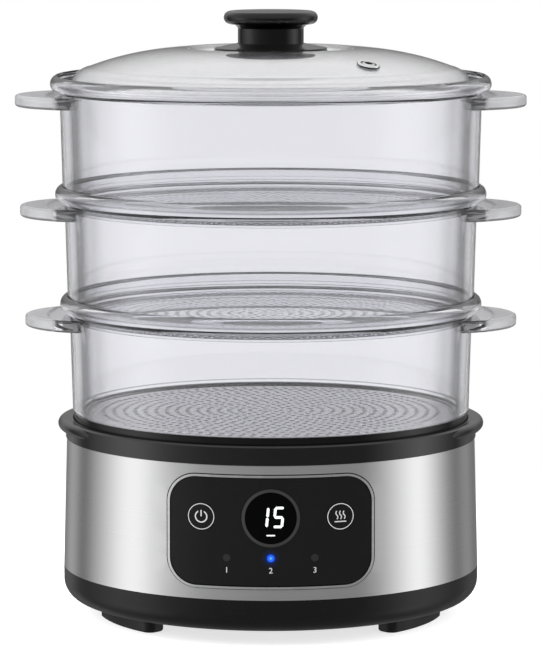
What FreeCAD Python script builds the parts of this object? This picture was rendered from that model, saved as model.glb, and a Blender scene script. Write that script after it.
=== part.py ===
import FreeCAD, Part
import os
import re
import Sketcher
from FreeCAD import Placement, Rotation, Vector

# An electric food steamer, in millimetres. A round base heats a shallow water reservoir, a drip
# tray with a steam chimney sits over it, three clear baskets nest on top of each other, and a
# domed lid closes the stack. +Z is up, the control panel faces -Y, and the origin is the middle
# of the base on the surface that the feet stand on.

# Driving dimensions: alias, size and what it is.
SIZES = [
    # base housing
    ("foot_height", 8, "floor to the flat bottom of the housing"),
    ("foot_overhang", 6, "outer edge of the arc-shaped feet past the flat bottom"),
    ("foot_width", 15, "radial width of a foot"),
    ("foot_half_angle", 18, "half of the arc that a foot covers, degrees"),
    ("foot_azimuth", 29.5, "middle of a foot from the side of the base, degrees"),
    ("foot_end_round", 6, "rounding of a foot's ends"),
    ("foot_sole_round", 1.6, "rounding of a foot's lower edge"),
    ("housing_radius", 131.1, "widest part of the base"),
    ("bowl_run", 18.1, "radial run of the shallow part of the bowl"),
    ("bowl_side_run", 9, "radial run of the steep part of the bowl"),
    ("bowl_rise", 2.4, "rise over the shallow part of the bowl"),
    ("bowl_height", 13.7, "flat bottom to the top of the bowl's curve"),
    ("bowl_foot_bulge", 0.6, "bulge of the shallow part of the bowl"),
    ("bowl_side_bulge", 2.5, "bulge of the steep part of the bowl"),
    ("bowl_inner_bulge", 1.4, "bulge of the bowl's inner face"),
    ("housing_wall", 2.2, "wall of the housing"),
    ("band_start", 22.7, "flat bottom to the lower edge of the steel band"),
    ("band_height", 81.8, "height of the steel band"),
    ("band_sheet", 0.8, "thickness of the steel band"),
    ("band_taper", 2.3, "how much the band narrows to its top"),
    ("band_backing", 0.6, "gap between the band's top and the wall behind it"),
    ("cover_margin", 14, "edge of the bottom cover to the edge of the flat bottom"),
    ("cover_sheet", 2.2, "thickness of the bottom cover"),
    ("cover_lip", 8, "width of the lip that the bottom cover is screwed to"),
    ("cover_gap", 0.3, "gap round the bottom cover"),
    ("screw_inset", 4.5, "bottom screws from the edge of the cover"),
    ("screw_radius", 1.6, "shank of a bottom screw"),
    ("screw_head_radius", 3.1, "head of a screw"),
    ("screw_head_height", 1.8, "height of a screw's head"),
    ("screw_length", 9, "length of a bottom screw's shank"),
    ("boss_radius", 4, "boss round a bottom screw"),
    ("fit_gap", 0.1, "gap between fixed pieces"),
    ("lift_gap", 0.6, "gap round pieces that lift out"),
    # collar
    ("collar_overhang", 0.7, "how far the collar stands out of the band's top"),
    ("collar_edge", 4.6, "outside of the collar to the pocket that the drip tray stands in"),
    ("collar_height", 11.8, "height of the collar's band"),
    ("collar_chamfer", 1, "edge of the collar's band"),
    ("collar_skirt", 8.5, "how far the collar reaches down inside the housing"),
    ("collar_wall", 2.2, "wall of the collar's skirt"),
    ("collar_lap", 4.5, "top of the band down to the top of the wall that the collar sits in"),
    ("tray_seat", 6.3, "depth of the seat for the drip tray"),
    ("tray_landing", 11.3, "width of that seat outside the reservoir"),
    ("ear_reach", 4.8, "how far a grip stands out of the collar"),
    ("ear_half_angle", 33, "half of the arc that a grip covers, degrees"),
    ("ear_height", 7.4, "thickness of a grip"),
    ("ear_round", 3.2, "depth of the rounding of a grip's edge"),
    # reservoir and heater
    ("reservoir_gap", 1, "gap round the reservoir in the collar"),
    ("reservoir_draft", 8, "how much the reservoir narrows to its floor"),
    ("reservoir_lift", 30, "flat bottom to the underside of the reservoir"),
    ("reservoir_wall", 2, "wall of the reservoir"),
    ("reservoir_flange", 6.5, "width of the reservoir's flange"),
    ("gasket_height", 0.8, "gasket under the reservoir's flange"),
    ("heater_hole", 34, "hole in the reservoir's floor"),
    ("heater_plate_lap", 6, "how far the heater's plate laps over the floor round the hole"),
    ("heater_plate_sheet", 1.2, "thickness of the heater's plate"),
    ("heater_seal_height", 1, "seal under the heater's plate"),
    ("heater_gap", 3, "gap round the heater's cast block in the hole"),
    ("heater_block", 4, "thickness of the cast block"),
    ("heater_tube_inset", 7, "ring of heating tube from the edge of the block"),
    ("heater_tube_radius", 4, "heating tube in the casting"),
    ("heater_tube_bulge", 3.6, "how far the heating tube bulges below the block"),
    ("terminal_length", 9, "terminals of the heating tube"),
    ("terminal_radius", 1.6, "radius of a terminal"),
    ("terminal_spread", 14.4, "terminals from the middle plane"),
    ("thermostat_radius", 9, "thermostat"),
    ("thermostat_height", 7, "height of the thermostat"),
    ("thermostat_can", 6.3, "radius of the thermostat's can"),
    ("thermostat_flange", 2.8, "height of the thermostat's flange"),
    ("fuse_radius", 2.2, "thermal fuse"),
    ("fuse_length", 13, "length of the thermal fuse"),
    # drip tray
    ("tray_rise", 10.9, "seat to the top of the drip tray's wall, where the lowest basket sits"),
    ("tray_wall", 2.5, "wall of the drip tray"),
    ("tray_sheet", 2, "floor of the drip tray"),
    ("tray_depth", 14, "depth of the tray's pan"),
    ("pan_gap", 1.8, "gap round the tray's pan in the reservoir's mouth"),
    ("pan_draft", 2, "how much the pan narrows to its floor"),
    ("chimney_radius", 37, "outside of the steam chimney"),
    ("chimney_height", 10, "height of the steam chimney"),
    # baskets
    ("basket_overhang", 2.4, "outside of the drip tray to the lowest basket's, under its rim"),
    ("basket_step", 2.75, "how much wider each basket is than the one below"),
    ("basket_wall", 2.2, "wall of a basket"),
    ("basket_draft", 1.7, "how much a basket narrows to its shoulder"),
    ("lowest_height", 72.6, "shoulder to top of the lowest basket"),
    ("basket_pitch", 69, "from one basket's top to the next one's"),
    ("nest_depth", 7.5, "depth of the channel in a rim"),
    ("nest_gap", 0.6, "gap round what sits in a rim's channel"),
    ("rim_lip", 1, "width of the flat top of a rim"),
    ("rim_height", 10.8, "height of a rim"),
    ("rim_bulge", 4.6, "how far a rim's bead bulges"),
    ("foot_ring", 7.5, "how far a foot ring reaches into the basket below"),
    ("lowest_foot_ring", 4.3, "how far the lowest foot ring reaches into the drip tray"),
    ("foot_ring_gap", 0.95, "gap round a foot ring"),
    ("foot_ring_wall", 2, "wall of a foot ring"),
    ("floor_ledge", 2.5, "ledge that carries a basket's floor"),
    ("ledge_sheet", 1.5, "thickness of the ledge"),
    ("floor_sheet", 2, "thickness of a basket's floor"),
    ("handle_reach", 28, "how far a handle stands out of the wall"),
    ("handle_half_width", 47, "half of a handle's width"),
    ("handle_thickness", 7.4, "thickness of a handle"),
    ("handle_drop", 12, "top of the rim to the top of a handle"),
    ("handle_round", 2, "rounding of a handle's edges"),
    ("slot_width", 4, "width of a steam slot"),
    ("slot_length", 16, "length of a steam slot"),
    ("slot_ring_step", 27, "from one ring of slots to the next"),
    ("slots_inner", 8, "steam slots in the inner ring"),
    ("slots_middle", 14, "steam slots in the middle ring"),
    ("slots_outer", 20, "steam slots in the outer ring"),
    # lid
    ("lid_wall", 2.2, "wall of the lid"),
    ("lid_flange_height", 4.4, "height of the lid's flange"),
    ("lid_flange_width", 8.25, "width of the lid's flange"),
    ("shoulder_run", 11.5, "radial run of the dome up to its shoulder"),
    ("shoulder_rise", 8.7, "rise of the dome to its shoulder"),
    ("shoulder_bulge", 1.7, "bulge of the dome below its shoulder"),
    ("crown_rise", 11.6, "rise of the dome from shoulder to crown"),
    ("crown_bulge", 2.4, "bulge of the dome between shoulder and crown"),
    ("well_gap", 2.5, "flat floor of the well round the knob's flange"),
    ("well_run", 16.5, "radial run from the well's floor up to the crown"),
    ("well_depth", 4.2, "depth of the well below the crown"),
    ("well_bulge", 0.7, "roundness of the well's side"),
    ("vent_inset", 14.1, "steam vent from the dome's shoulder"),
    ("vent_azimuth", 36.4, "steam vent, to the right of the front, degrees"),
    ("vent_radius", 7.2, "flange of the steam vent"),
    ("vent_height", 2.1, "height of the steam vent"),
    ("vent_barrel", 4.4, "barrel of the steam vent"),
    ("vent_bore", 2.1, "bore of the steam vent"),
    ("vent_face", 5.8, "radius of the flat face of the vent"),
    ("vent_mouth", 2.9, "radius of the vent's flared mouth"),
    ("vent_flare", 0.8, "depth of the flare"),
    ("vent_bulge", 0.6, "roundness of the vent's flange"),
    ("vent_curl", 1.1, "rolled edge of the vent inside the dome"),
    # knob
    ("knob_radius", 29.4, "top disc of the knob"),
    ("knob_disc", 8.2, "thickness of the knob's disc"),
    ("knob_height", 20.8, "height of the knob above its seat"),
    ("knob_edge", 3.9, "bulge of the disc's edge"),
    ("knob_neck", 20.6, "neck of the knob"),
    ("knob_flare", 2.5, "height over which the neck flares into the disc"),
    ("knob_flare_hollow", 0.8, "hollow of that flare"),
    ("knob_dish", 0.6, "depth of the dish in the knob's top"),
    ("knob_dish_flat", 3, "flat middle of the dish"),
    ("knob_wall", 3.2, "wall of the knob"),
    ("knob_boss", 5, "boss for the knob's screw"),
    ("knob_flange_radius", 36, "flange under the knob"),
    ("knob_flange_height", 6.2, "height of the flange where the knob sits"),
    ("knob_flange_edge", 4, "height of the flange's edge"),
    ("knob_flange_step", 0.7, "step in the flange's edge"),
    ("washer_radius", 26, "washer under the dome"),
    ("washer_sheet", 1.2, "thickness of the washer"),
    ("knob_screw_radius", 2, "shank of the knob's screw"),
    ("knob_screw_length", 19, "length of the knob's screw"),
    ("knob_screw_head", 4.5, "head of the knob's screw"),
    ("knob_bore_gap", 0.3, "gap round the knob's boss and neck in the flange"),
    # control panel
    ("panel_rise", 41.5, "lower edge of the band to the middle of the panel"),
    ("panel_width", 126, "width of the band's window, which takes the panel"),
    ("panel_height", 70, "height of the band's window"),
    ("panel_corner", 18, "corner radius of the band's window"),
    ("bezel_gap", 0.5, "shadow gap between the band and the bezel"),
    ("bezel_width", 1.4, "width of the bezel's frame"),
    ("fascia_gap", 0.6, "shadow gap between the bezel and the fascia"),
    ("bezel_proud", 1, "how far the bezel stands out of the band"),
    ("fascia_proud", 0.3, "how far the fascia stands out of the band"),
    ("window_side", 10.5, "side of the panel to the window in the housing behind it"),
    ("window_end", 6.5, "upper and lower edge of the panel to that window"),
    ("display_rise", 8.7, "middle of the panel up to the display and the buttons"),
    ("display_radius", 15.6, "display lens"),
    ("display_ring_width", 1.9, "width of the ring round the lens"),
    ("display_ring_proud", 0.8, "how far the ring stands out of the band"),
    ("button_inset", 21, "side of the panel to the middle of a button"),
    ("button_radius", 8.2, "cap of a button"),
    ("button_flange", 1, "how far a button's flange reaches behind the fascia"),
    ("button_gap", 0.3, "gap round a button"),
    ("button_flange_sheet", 1.1, "thickness of a button's flange"),
    ("button_stem", 2.5, "stem of a button"),
    ("stem_length", 0.3, "length of a button's stem on its shorter side"),
    ("button_travel", 0.6, "how far a button is pressed"),
    ("light_drop", 15.7, "middle of the panel down to the indicator lights"),
    ("light_spacing", 26.6, "from one indicator light to the next"),
    ("light_radius", 2.3, "indicator light"),
    ("light_pipe_radius", 1.4, "light pipe behind an indicator light"),
    ("board_side", 6.5, "side of the window to the control board's"),
    ("board_end", 1.5, "upper and lower edge of the window to the control board's"),
    ("board_sheet", 1.6, "thickness of a circuit board"),
    ("post_radius", 3, "posts that carry the control board"),
    ("post_inset", 5, "posts from the control board's edges"),
    ("board_screw_radius", 1.2, "shank of a board screw"),
    ("board_screw_length", 6, "length of a board screw"),
    ("module_size", 26, "display module"),
    ("module_gap", 2.8, "display module to the back of the lens"),
    ("switch_size", 6, "tact switch"),
    ("switch_depth", 3.5, "depth of a tact switch"),
    ("plunger_radius", 1.7, "plunger of a tact switch"),
    ("plunger_length", 1.2, "length of a tact switch's plunger"),
    # power side
    ("power_board_length", 90, "power board"),
    ("power_board_width", 50, "width of the power board"),
    ("power_board_lift", 9, "power board above the bottom cover"),
    ("standoff_radius", 3.5, "standoffs of the power board"),
    ("standoff_inset", 6, "standoffs from the power board's edges"),
    ("relay_length", 20, "relay on the power board"),
    ("relay_width", 12, "width of the relay"),
    ("relay_height", 10, "height of the relay"),
    ("vent_slot_length", 26, "air slots in the bottom cover"),
    ("vent_slot_width", 3, "width of an air slot"),
    ("vent_slot_inset", 24, "air slots from the edge of the bottom cover"),
    ("gland_drop", 5.3, "cord gland below the lower edge of the band"),
    ("gland_bore", 3.4, "bore of the cord gland"),
    ("gland_wall", 0.9, "wall of the cord gland"),
    ("gland_flange", 4.9, "flange of the cord gland"),
    ("gland_flange_depth", 2, "thickness of the gland's flange"),
]

# Sizes that follow from those, each an expression of sizes written above it.
DERIVED = {
    # base housing
    "band_bottom": "foot_height + band_start",
    "band_top": "band_bottom + band_height",
    "band_top_radius": "housing_radius - band_taper",
    "backing_radius": "band_top_radius - band_sheet - band_backing",
    "bowl_turn": "housing_radius - bowl_side_run",
    "housing_flat": "bowl_turn - bowl_run",
    "foot_radius": "housing_flat + foot_overhang",
    "cover_radius": "housing_flat - cover_margin",
    "cover_top": "foot_height + cover_sheet",
    "screw_circle": "cover_radius - screw_inset",
    "vent_slot_circle": "cover_radius - vent_slot_inset",
    "gland_height": "band_bottom - gland_drop",
    # collar, reservoir and heater
    "collar_top": "band_top + collar_height",
    "collar_radius": "band_top_radius + collar_overhang",
    "seat_height": "collar_top - tray_seat",
    "seat_radius": "collar_radius - collar_edge",
    "reservoir_radius": "seat_radius - tray_landing - fit_gap - reservoir_flange",
    "collar_bore": "reservoir_radius + reservoir_gap",
    "reservoir_floor": "foot_height + reservoir_lift",
    "heater_seat": "reservoir_floor + reservoir_wall",
    "heater_plate_radius": "heater_hole + heater_plate_lap",
    "heater_radius": "heater_hole - heater_gap",
    "heater_tube_circle": "heater_radius - heater_tube_inset",
    "block_bottom": "heater_seat + heater_seal_height - heater_block",
    # drip tray and baskets
    "tray_radius": "seat_radius - lift_gap",
    "tray_top": "seat_height + tray_rise",
    "pan_radius": "reservoir_radius - reservoir_wall - pan_gap",
    "basket_radius": "tray_radius + basket_overhang",
    "channel_width": "nest_gap + basket_step - basket_draft",
    # lid
    "lid_seat": "tray_top + lowest_height + 2 * basket_pitch - nest_depth",
    "lid_radius": "basket_radius + 2 * basket_step + channel_width - nest_gap",
    "lid_foot": "lid_radius - lid_flange_width",
    "lid_flange_top": "lid_seat + lid_flange_height",
    "shoulder_radius": "lid_foot - shoulder_run",
    "lid_shoulder": "lid_flange_top + shoulder_rise",
    "lid_crown": "lid_shoulder + crown_rise",
    "well_floor": "lid_crown - well_depth",
    "well_radius": "knob_flange_radius + well_gap",
    "crown_radius": "well_radius + well_run",
    "vent_circle": "shoulder_radius - vent_inset",
    # control panel
    "panel_centre": "band_bottom + panel_rise",
    "panel_back": "backing_radius + fit_gap",
    "window_width": "panel_width - 2 * window_side",
    "window_height": "panel_height - 2 * window_end",
    "display_height": "panel_centre + display_rise",
    "light_height": "panel_centre - light_drop",
    "button_offset": "panel_width / 2 - button_inset",
    "button_back": "panel_back - button_gap - button_flange_sheet",
    "stem_back": "sqrt(button_back^2 - (button_offset + button_stem)^2) - stem_length",
    "plunger_tip": "stem_back - button_travel - 2 * fit_gap",
    "board_distance": "plunger_tip - plunger_length - switch_depth",
    "board_width": "window_width - 2 * board_side",
    "board_height": "window_height - 2 * board_end",
    # how far outlines are pushed out of the middle, and how far round them the trimming reaches
    "push": "1.5 * housing_radius",
    "far_out": "2 * housing_radius",
}

doc = FreeCAD.newDocument("food_steamer")
sheet = doc.addObject("Spreadsheet::Sheet", "Sizes")
for row, (alias, number, note) in enumerate(SIZES, start=1):
    sheet.set("A%d" % row, note)
    sheet.set("B%d" % row, str(number))
    sheet.setAlias("B%d" % row, alias)
doc.recompute()

ALIASES = {alias for alias, number, note in SIZES}
PARTS = []


def spell(word):
    """A size's name as the spreadsheet's cell, or as the expression that it follows from."""
    name = word.group(0)
    if name in DERIVED:
        return "(%s)" % bound(DERIVED[name])
    return "Sizes." + name if name in ALIASES else name


def bound(text):
    """The expression with every name in it pointed at the spreadsheet."""
    return re.sub(r"[a-z_]+", spell, text)


def size(text):
    """The value of an expression of sizes."""
    return float(sheet.evalExpression(bound(text)))


def bind(item, prop, text):
    item.setExpression(prop, bound(text))


def new_body(label):
    body = doc.addObject("PartDesign::Body", label)
    body.Label = label
    PARTS.append(body)
    return body


def origin_plane(body, role):
    return [item for item in body.Origin.OriginFeatures if item.Role == role][0]


def new_sketch(body, name, role, lift):
    """A sketch on one of the body's own origin planes, lifted along the plane's normal."""
    sketch = body.newObject("Sketcher::SketchObject", body.Label + "_" + name)
    sketch.AttachmentSupport = [(origin_plane(body, role), "")]
    sketch.MapMode = "FlatFace"
    if lift:
        bind(sketch, "AttachmentOffset.Base.z", lift)
    return sketch


def pin(sketch, kind, axis, geometry, end, text):
    """Hold one coordinate of a point at an expression of sizes."""
    value = size(text)
    if abs(value) < 1e-9:
        sketch.addConstraint(Sketcher.Constraint("PointOnObject", geometry, end, axis))
    elif value > 0:
        index = sketch.addConstraint(Sketcher.Constraint(kind, -1, 1, geometry, end, value))
        bind(sketch, "Constraints[%d]" % index, text)
    else:
        index = sketch.addConstraint(Sketcher.Constraint(kind, geometry, end, -1, 1, -value))
        bind(sketch, "Constraints[%d]" % index, "-(%s)" % text)


def place_point(sketch, geometry, end, x_text, y_text):
    pin(sketch, "DistanceX", -2, geometry, end, x_text)
    pin(sketch, "DistanceY", -1, geometry, end, y_text)


def outline(body, name, corners, role="XZ_Plane", lift=None):
    """A closed outline, anticlockwise. A corner is (x, y), or (x, y, bulge) where the edge that
    leaves it is an arc: "+depth" bulges out of the material and "-depth" bulges into it."""
    sketch = new_sketch(body, name, role, lift)
    points = [Vector(size(corner[0]), size(corner[1]), 0) for corner in corners]
    starts, ends = [], []
    for index, corner in enumerate(corners):
        first, last = points[index], points[(index + 1) % len(points)]
        if len(corner) == 2:
            sketch.addGeometry(Part.LineSegment(first, last), False)
            starts.append(1)
            ends.append(2)
            continue
        outward = corner[2][0] == "+"
        depth = size(corner[2][1:])
        chord = last - first
        radius = (chord.Length ** 2 / 4 + depth ** 2) / (2 * depth)
        left = Vector(-chord.y, chord.x, 0).normalize()
        centre = (first + last) / 2 + left * ((radius - depth) * (1 if outward else -1))
        start, end = (first, last) if outward else (last, first)
        turn = Vector(1, 0, 0)
        angles = [turn.getAngle(point - centre) * (1 if point.y >= centre.y else -1)
                  for point in (start, end)]
        circle = Part.Circle(centre, Vector(0, 0, 1), radius)
        sketch.addGeometry(Part.ArcOfCircle(circle, angles[0], angles[1]), False)
        starts.append(1 if outward else 2)
        ends.append(2 if outward else 1)
    count = len(corners)
    for index in range(count):
        following = (index + 1) % count
        sketch.addConstraint(Sketcher.Constraint("Coincident", index, ends[index],
                                                 following, starts[following]))
    for index, corner in enumerate(corners):
        place_point(sketch, index, starts[index], corner[0], corner[1])
        if len(corner) == 3:
            after = corners[(index + 1) % count]
            depth = "(%s)" % corner[2][1:]
            chord_squared = ("((%s - (%s))^2 + (%s - (%s))^2)"
                             % (after[0], corner[0], after[1], corner[1]))
            radius_text = "(%s / 4 + %s^2) / (2 * %s)" % (chord_squared, depth, depth)
            rule = sketch.addConstraint(Sketcher.Constraint("Radius", index, size(radius_text)))
            bind(sketch, "Constraints[%d]" % rule, radius_text)
    return sketch


def circles(body, name, centres, radius, role="XZ_Plane", lift=None):
    """A sketch of equal circles."""
    sketch = new_sketch(body, name, role, lift)
    for index, (x_text, y_text) in enumerate(centres):
        centre = Vector(size(x_text), size(y_text), 0)
        sketch.addGeometry(Part.Circle(centre, Vector(0, 0, 1), size(radius)), False)
        place_point(sketch, index, 3, x_text, y_text)
        rule = sketch.addConstraint(Sketcher.Constraint("Radius", index, size(radius)))
        bind(sketch, "Constraints[%d]" % rule, radius)
    return sketch


def rectangle(body, name, x_low, x_high, y_low, y_high, role="XZ_Plane", lift=None):
    corners = [(x_low, y_low), (x_high, y_low), (x_high, y_high), (x_low, y_high)]
    return outline(body, name, corners, role, lift)


def rounded_panel(body, name, inset):
    """The panel's outline, drawn in from the edge of the band's window by an inset."""
    half_width = "(panel_width / 2 - %s)" % inset
    half_height = "(panel_height / 2 - %s)" % inset
    corner = "(panel_corner - %s)" % inset
    bulge = "+%s * (1 - sqrt(0.5))" % corner
    left, right = "-" + half_width, half_width
    low, high = "panel_centre - " + half_height, "panel_centre + " + half_height
    return outline(body, name, [
        (left + " + " + corner, low),
        (right + " - " + corner, low, bulge),
        (right, low + " + " + corner),
        (right, high + " - " + corner, bulge),
        (right + " - " + corner, high),
        (left + " + " + corner, high, bulge),
        (left, high + " - " + corner),
        (left, low + " + " + corner, bulge)])


def revolve(body, name, corners, kind="PartDesign::Revolution"):
    """A ring or disc turned about the body's Z axis from its half section."""
    sketch = outline(body, name, corners)
    feature = body.newObject(kind, body.Label + "_" + name + "_turn")
    feature.Profile = sketch
    feature.ReferenceAxis = (sketch, ["V_Axis"])
    feature.Angle = 360
    return feature


def turn_about(body, name, corners, axis_x, angle):
    """An arc-shaped piece, turned about an upright axis that stands at some X."""
    sketch = outline(body, name, corners)
    bind(sketch, "AttachmentOffset.Base.x", axis_x)
    feature = body.newObject("PartDesign::Revolution", body.Label + "_" + name + "_turn")
    feature.Profile = sketch
    feature.ReferenceAxis = (sketch, ["V_Axis"])
    feature.Midplane = True
    bind(feature, "Angle", angle)
    return feature


def extrude(body, sketch, length, kind="PartDesign::Pad", backwards=False):
    """A pad along the sketch's normal, or a pocket against it, unless it runs backwards."""
    feature = body.newObject(kind, sketch.Name + "_push")
    feature.Profile = sketch
    feature.Type = 0
    bind(feature, "Length", length)
    feature.Reversed = backwards
    return feature


def pad(body, sketch, length):
    return extrude(body, sketch, length)


def pocket_out(body, sketch, length):
    """A pocket that runs the way the sketch's normal points."""
    return extrude(body, sketch, length, "PartDesign::Pocket", True)


def pocket_back(body, sketch, length):
    """A pocket that runs against the sketch's normal."""
    return extrude(body, sketch, length, "PartDesign::Pocket", False)


def polar(body, feature, count):
    """Copies of a feature round the body's Z axis."""
    pattern = body.newObject("PartDesign::PolarPattern", feature.Name + "_ring")
    pattern.Originals = [feature]
    pattern.Axis = (origin_plane(body, "Z_Axis"), [""])
    pattern.Angle = 360
    bind(pattern, "Occurrences", count)
    body.Tip = pattern
    return pattern


def mirror(body, feature, role):
    copy = body.newObject("PartDesign::Mirrored", feature.Name + "_mirror")
    copy.Originals = [feature]
    copy.MirrorPlane = (origin_plane(body, role), [""])
    body.Tip = copy
    return copy


def round_edges(body, base, radius, wanted, name="edges"):
    """A fillet on the edges of the base for which wanted(edge) is true."""
    doc.recompute()
    names = ["Edge%d" % (index + 1) for index, edge in enumerate(base.Shape.Edges) if wanted(edge)]
    fillet = body.newObject("PartDesign::Fillet", body.Label + "_round_" + name)
    fillet.Base = (base, names)
    bind(fillet, "Radius", radius)
    body.Tip = fillet
    return fillet


def trim_outside(body, name, proud):
    """Cut away what stands out of the band's cone by more than an amount."""
    foot = "(housing_radius + %s)" % proud
    head = "(band_top_radius + %s)" % proud
    return revolve(body, name, [(foot, "band_bottom"), ("far_out", "band_bottom"),
                                ("far_out", "band_top"), (head, "band_top")],
                   "PartDesign::Groove")


def trim_inside(body, name, radius):
    """Cut away what lies inside a cylinder about the base's axis."""
    return revolve(body, name, [("0", "band_bottom"), (radius, "band_bottom"),
                                (radius, "band_top"), ("0", "band_top")],
                   "PartDesign::Groove")


def panel_piece(label, draw, proud):
    """A piece of the panel: an outline pushed forwards and trimmed to the base's curve."""
    body = new_body(label)
    pad(body, draw(body), "push")
    trim_inside(body, "back", "panel_back")
    trim_outside(body, "face", proud)
    return body


# ---------------------------------------------------------------- base housing

def lower_housing():
    """The bowl with its inner wall, which backs the steel band and stops under the collar."""
    body = new_body("lower_housing")
    bowl_top = "(foot_height + bowl_height)"
    inner = "(backing_radius - housing_wall)"
    lip = "(cover_top + housing_wall)"
    wall_top = "(band_top - collar_lap)"
    revolve(body, "section", [
        ("cover_radius + cover_gap", "foot_height"),
        ("housing_flat", "foot_height", "+bowl_foot_bulge"),
        ("bowl_turn", "foot_height + bowl_rise", "+bowl_side_bulge"),
        ("housing_radius", bowl_top),
        ("housing_radius", "band_bottom"),
        ("backing_radius", "band_bottom"),
        ("backing_radius", wall_top),
        (inner, wall_top),
        (inner, bowl_top, "-bowl_inner_bulge"),
        ("bowl_turn - housing_wall", lip),
        ("cover_radius - cover_lip", lip),
        ("cover_radius - cover_lip", "cover_top"),
        ("cover_radius + cover_gap", "cover_top")])
    half = "window_width / 2"
    window = rectangle(body, "window", "-" + half, half, "panel_centre - window_height / 2",
                       "panel_centre + window_height / 2")
    pocket_out(body, window, "push")
    boss = pad(body, circles(body, "boss", [("screw_circle", "0")], "boss_radius", "XY_Plane", lip),
               "screw_length")
    polar(body, boss, "4")
    hole = circles(body, "screw_hole", [("screw_circle", "0")], "screw_radius + fit_gap / 2",
                   "XY_Plane", "cover_top")
    polar(body, pocket_out(body, hole, "screw_length + 2 * housing_wall"), "4")
    gland = circles(body, "gland_hole", [("0", "gland_height")],
                    "gland_bore + gland_wall + fit_gap")
    pocket_back(body, gland, "push")
    return body


def steel_band():
    body = new_body("steel_band")
    revolve(body, "section", [
        ("housing_radius - band_sheet", "band_bottom"),
        ("housing_radius", "band_bottom"),
        ("band_top_radius", "band_top"),
        ("band_top_radius - band_sheet", "band_top")])
    pocket_out(body, rounded_panel(body, "window", "0"), "push")
    return body


def standoffs():
    """Centres of the standoffs that carry the power board."""
    across = "(power_board_length / 2 - standoff_inset)"
    along = "(power_board_width / 2 - standoff_inset)"
    return [(sign_x + across, sign_y + along) for sign_x in ("", "-") for sign_y in ("", "-")]


def bottom_cover():
    """The screwed plate under the housing, with air slots and the power board's standoffs."""
    body = new_body("bottom_cover")
    pad(body, circles(body, "disc", [("0", "0")], "cover_radius", "XY_Plane", "foot_height"),
        "cover_sheet")
    slot = rectangle(body, "air_slot", "vent_slot_circle - vent_slot_width / 2",
                     "vent_slot_circle + vent_slot_width / 2", "-vent_slot_length / 2",
                     "vent_slot_length / 2", "XY_Plane", "foot_height")
    polar(body, pocket_out(body, slot, "2 * cover_sheet"), "8")
    hole = circles(body, "screw_hole", [("screw_circle", "0")], "screw_radius + fit_gap",
                   "XY_Plane", "foot_height")
    polar(body, pocket_out(body, hole, "2 * cover_sheet"), "4")
    pad(body, circles(body, "standoffs", standoffs(), "standoff_radius", "XY_Plane", "cover_top"),
        "power_board_lift")
    pilots = circles(body, "pilots", standoffs(), "board_screw_radius + fit_gap / 2", "XY_Plane",
                     "cover_top + power_board_lift")
    pocket_back(body, pilots, "board_screw_length")
    return body


def foot(label, azimuth):
    """An arc-shaped foot with rounded ends and a rounded lower edge."""
    body = new_body(label)
    inner = "(foot_radius - foot_width)"
    across, along = "cos(foot_half_angle)", "sin(foot_half_angle)"
    sketch = outline(body, "plan", [
        ("foot_radius * " + across, "-foot_radius * " + along, "+foot_radius * (1 - %s)" % across),
        ("foot_radius * " + across, "foot_radius * " + along),
        (inner + " * " + across, inner + " * " + along, "-%s * (1 - %s)" % (inner, across)),
        (inner + " * " + across, "-%s * %s" % (inner, along))], "XY_Plane")
    block = pad(body, sketch, "foot_height")
    ends = round_edges(body, block, "foot_end_round",
                       lambda edge: edge.BoundBox.ZLength > 0.9 * size("foot_height"), "ends")
    round_edges(body, ends, "foot_sole_round",
                lambda edge: edge.BoundBox.ZMax < 0.1 * size("foot_height"), "sole")
    body.Placement = Placement(Vector(0, 0, 0), Rotation(Vector(0, 0, 1), azimuth))
    return body


def base_collar():
    """The black ring over the band, with a seat for the tray and a crescent grip each side."""
    body = new_body("base_collar")
    skirt = "(backing_radius - housing_wall - 2 * fit_gap)"
    skirt_bottom = "(band_top - collar_skirt)"
    wall_top = "(band_top - collar_lap + 2 * fit_gap)"
    shelf = "(seat_height - reservoir_wall - gasket_height)"
    revolve(body, "section", [
        (skirt + " - collar_wall", skirt_bottom),
        (skirt, skirt_bottom),
        (skirt, wall_top),
        ("backing_radius + fit_gap", wall_top),
        ("backing_radius + fit_gap", "band_top"),
        ("collar_radius", "band_top"),
        ("collar_radius", "collar_top - collar_chamfer"),
        ("collar_radius - collar_chamfer", "collar_top"),
        ("seat_radius", "collar_top"),
        ("seat_radius", "seat_height"),
        ("reservoir_radius + reservoir_flange + fit_gap", "seat_height"),
        ("reservoir_radius + reservoir_flange + fit_gap", shelf),
        ("collar_bore", shelf),
        ("collar_bore", shelf + " - collar_wall"),
        (skirt + " - collar_wall", shelf + " - collar_wall")])
    tip = "(collar_radius - collar_chamfer)"
    depth = "(collar_radius + ear_reach - %s * cos(ear_half_angle))" % tip
    half_chord = "(%s * sin(ear_half_angle))" % tip
    sweep = "((%s^2 + %s^2) / (2 * %s))" % (half_chord, depth, depth)
    nose = "(%s - ear_round)" % sweep
    grip_root = "(%s - ear_reach - 1.5 * collar_edge)" % sweep
    grip = turn_about(body, "grip", [
        (grip_root, "collar_top - ear_height"),
        (nose, "collar_top - ear_height", "+ear_round"),
        (nose, "collar_top"),
        (grip_root, "collar_top")], "collar_radius + ear_reach - " + sweep,
        "2 * asin(%s / %s)" % (half_chord, sweep))
    mirror(body, grip, "YZ_Plane")
    revolve(body, "clear_seat", [
        ("collar_bore", "seat_height"),
        ("seat_radius", "seat_height"),
        ("seat_radius", "collar_top + collar_height"),
        ("collar_bore", "collar_top + collar_height")], "PartDesign::Groove")
    return body


# ---------------------------------------------------------------- water and heat

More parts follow.
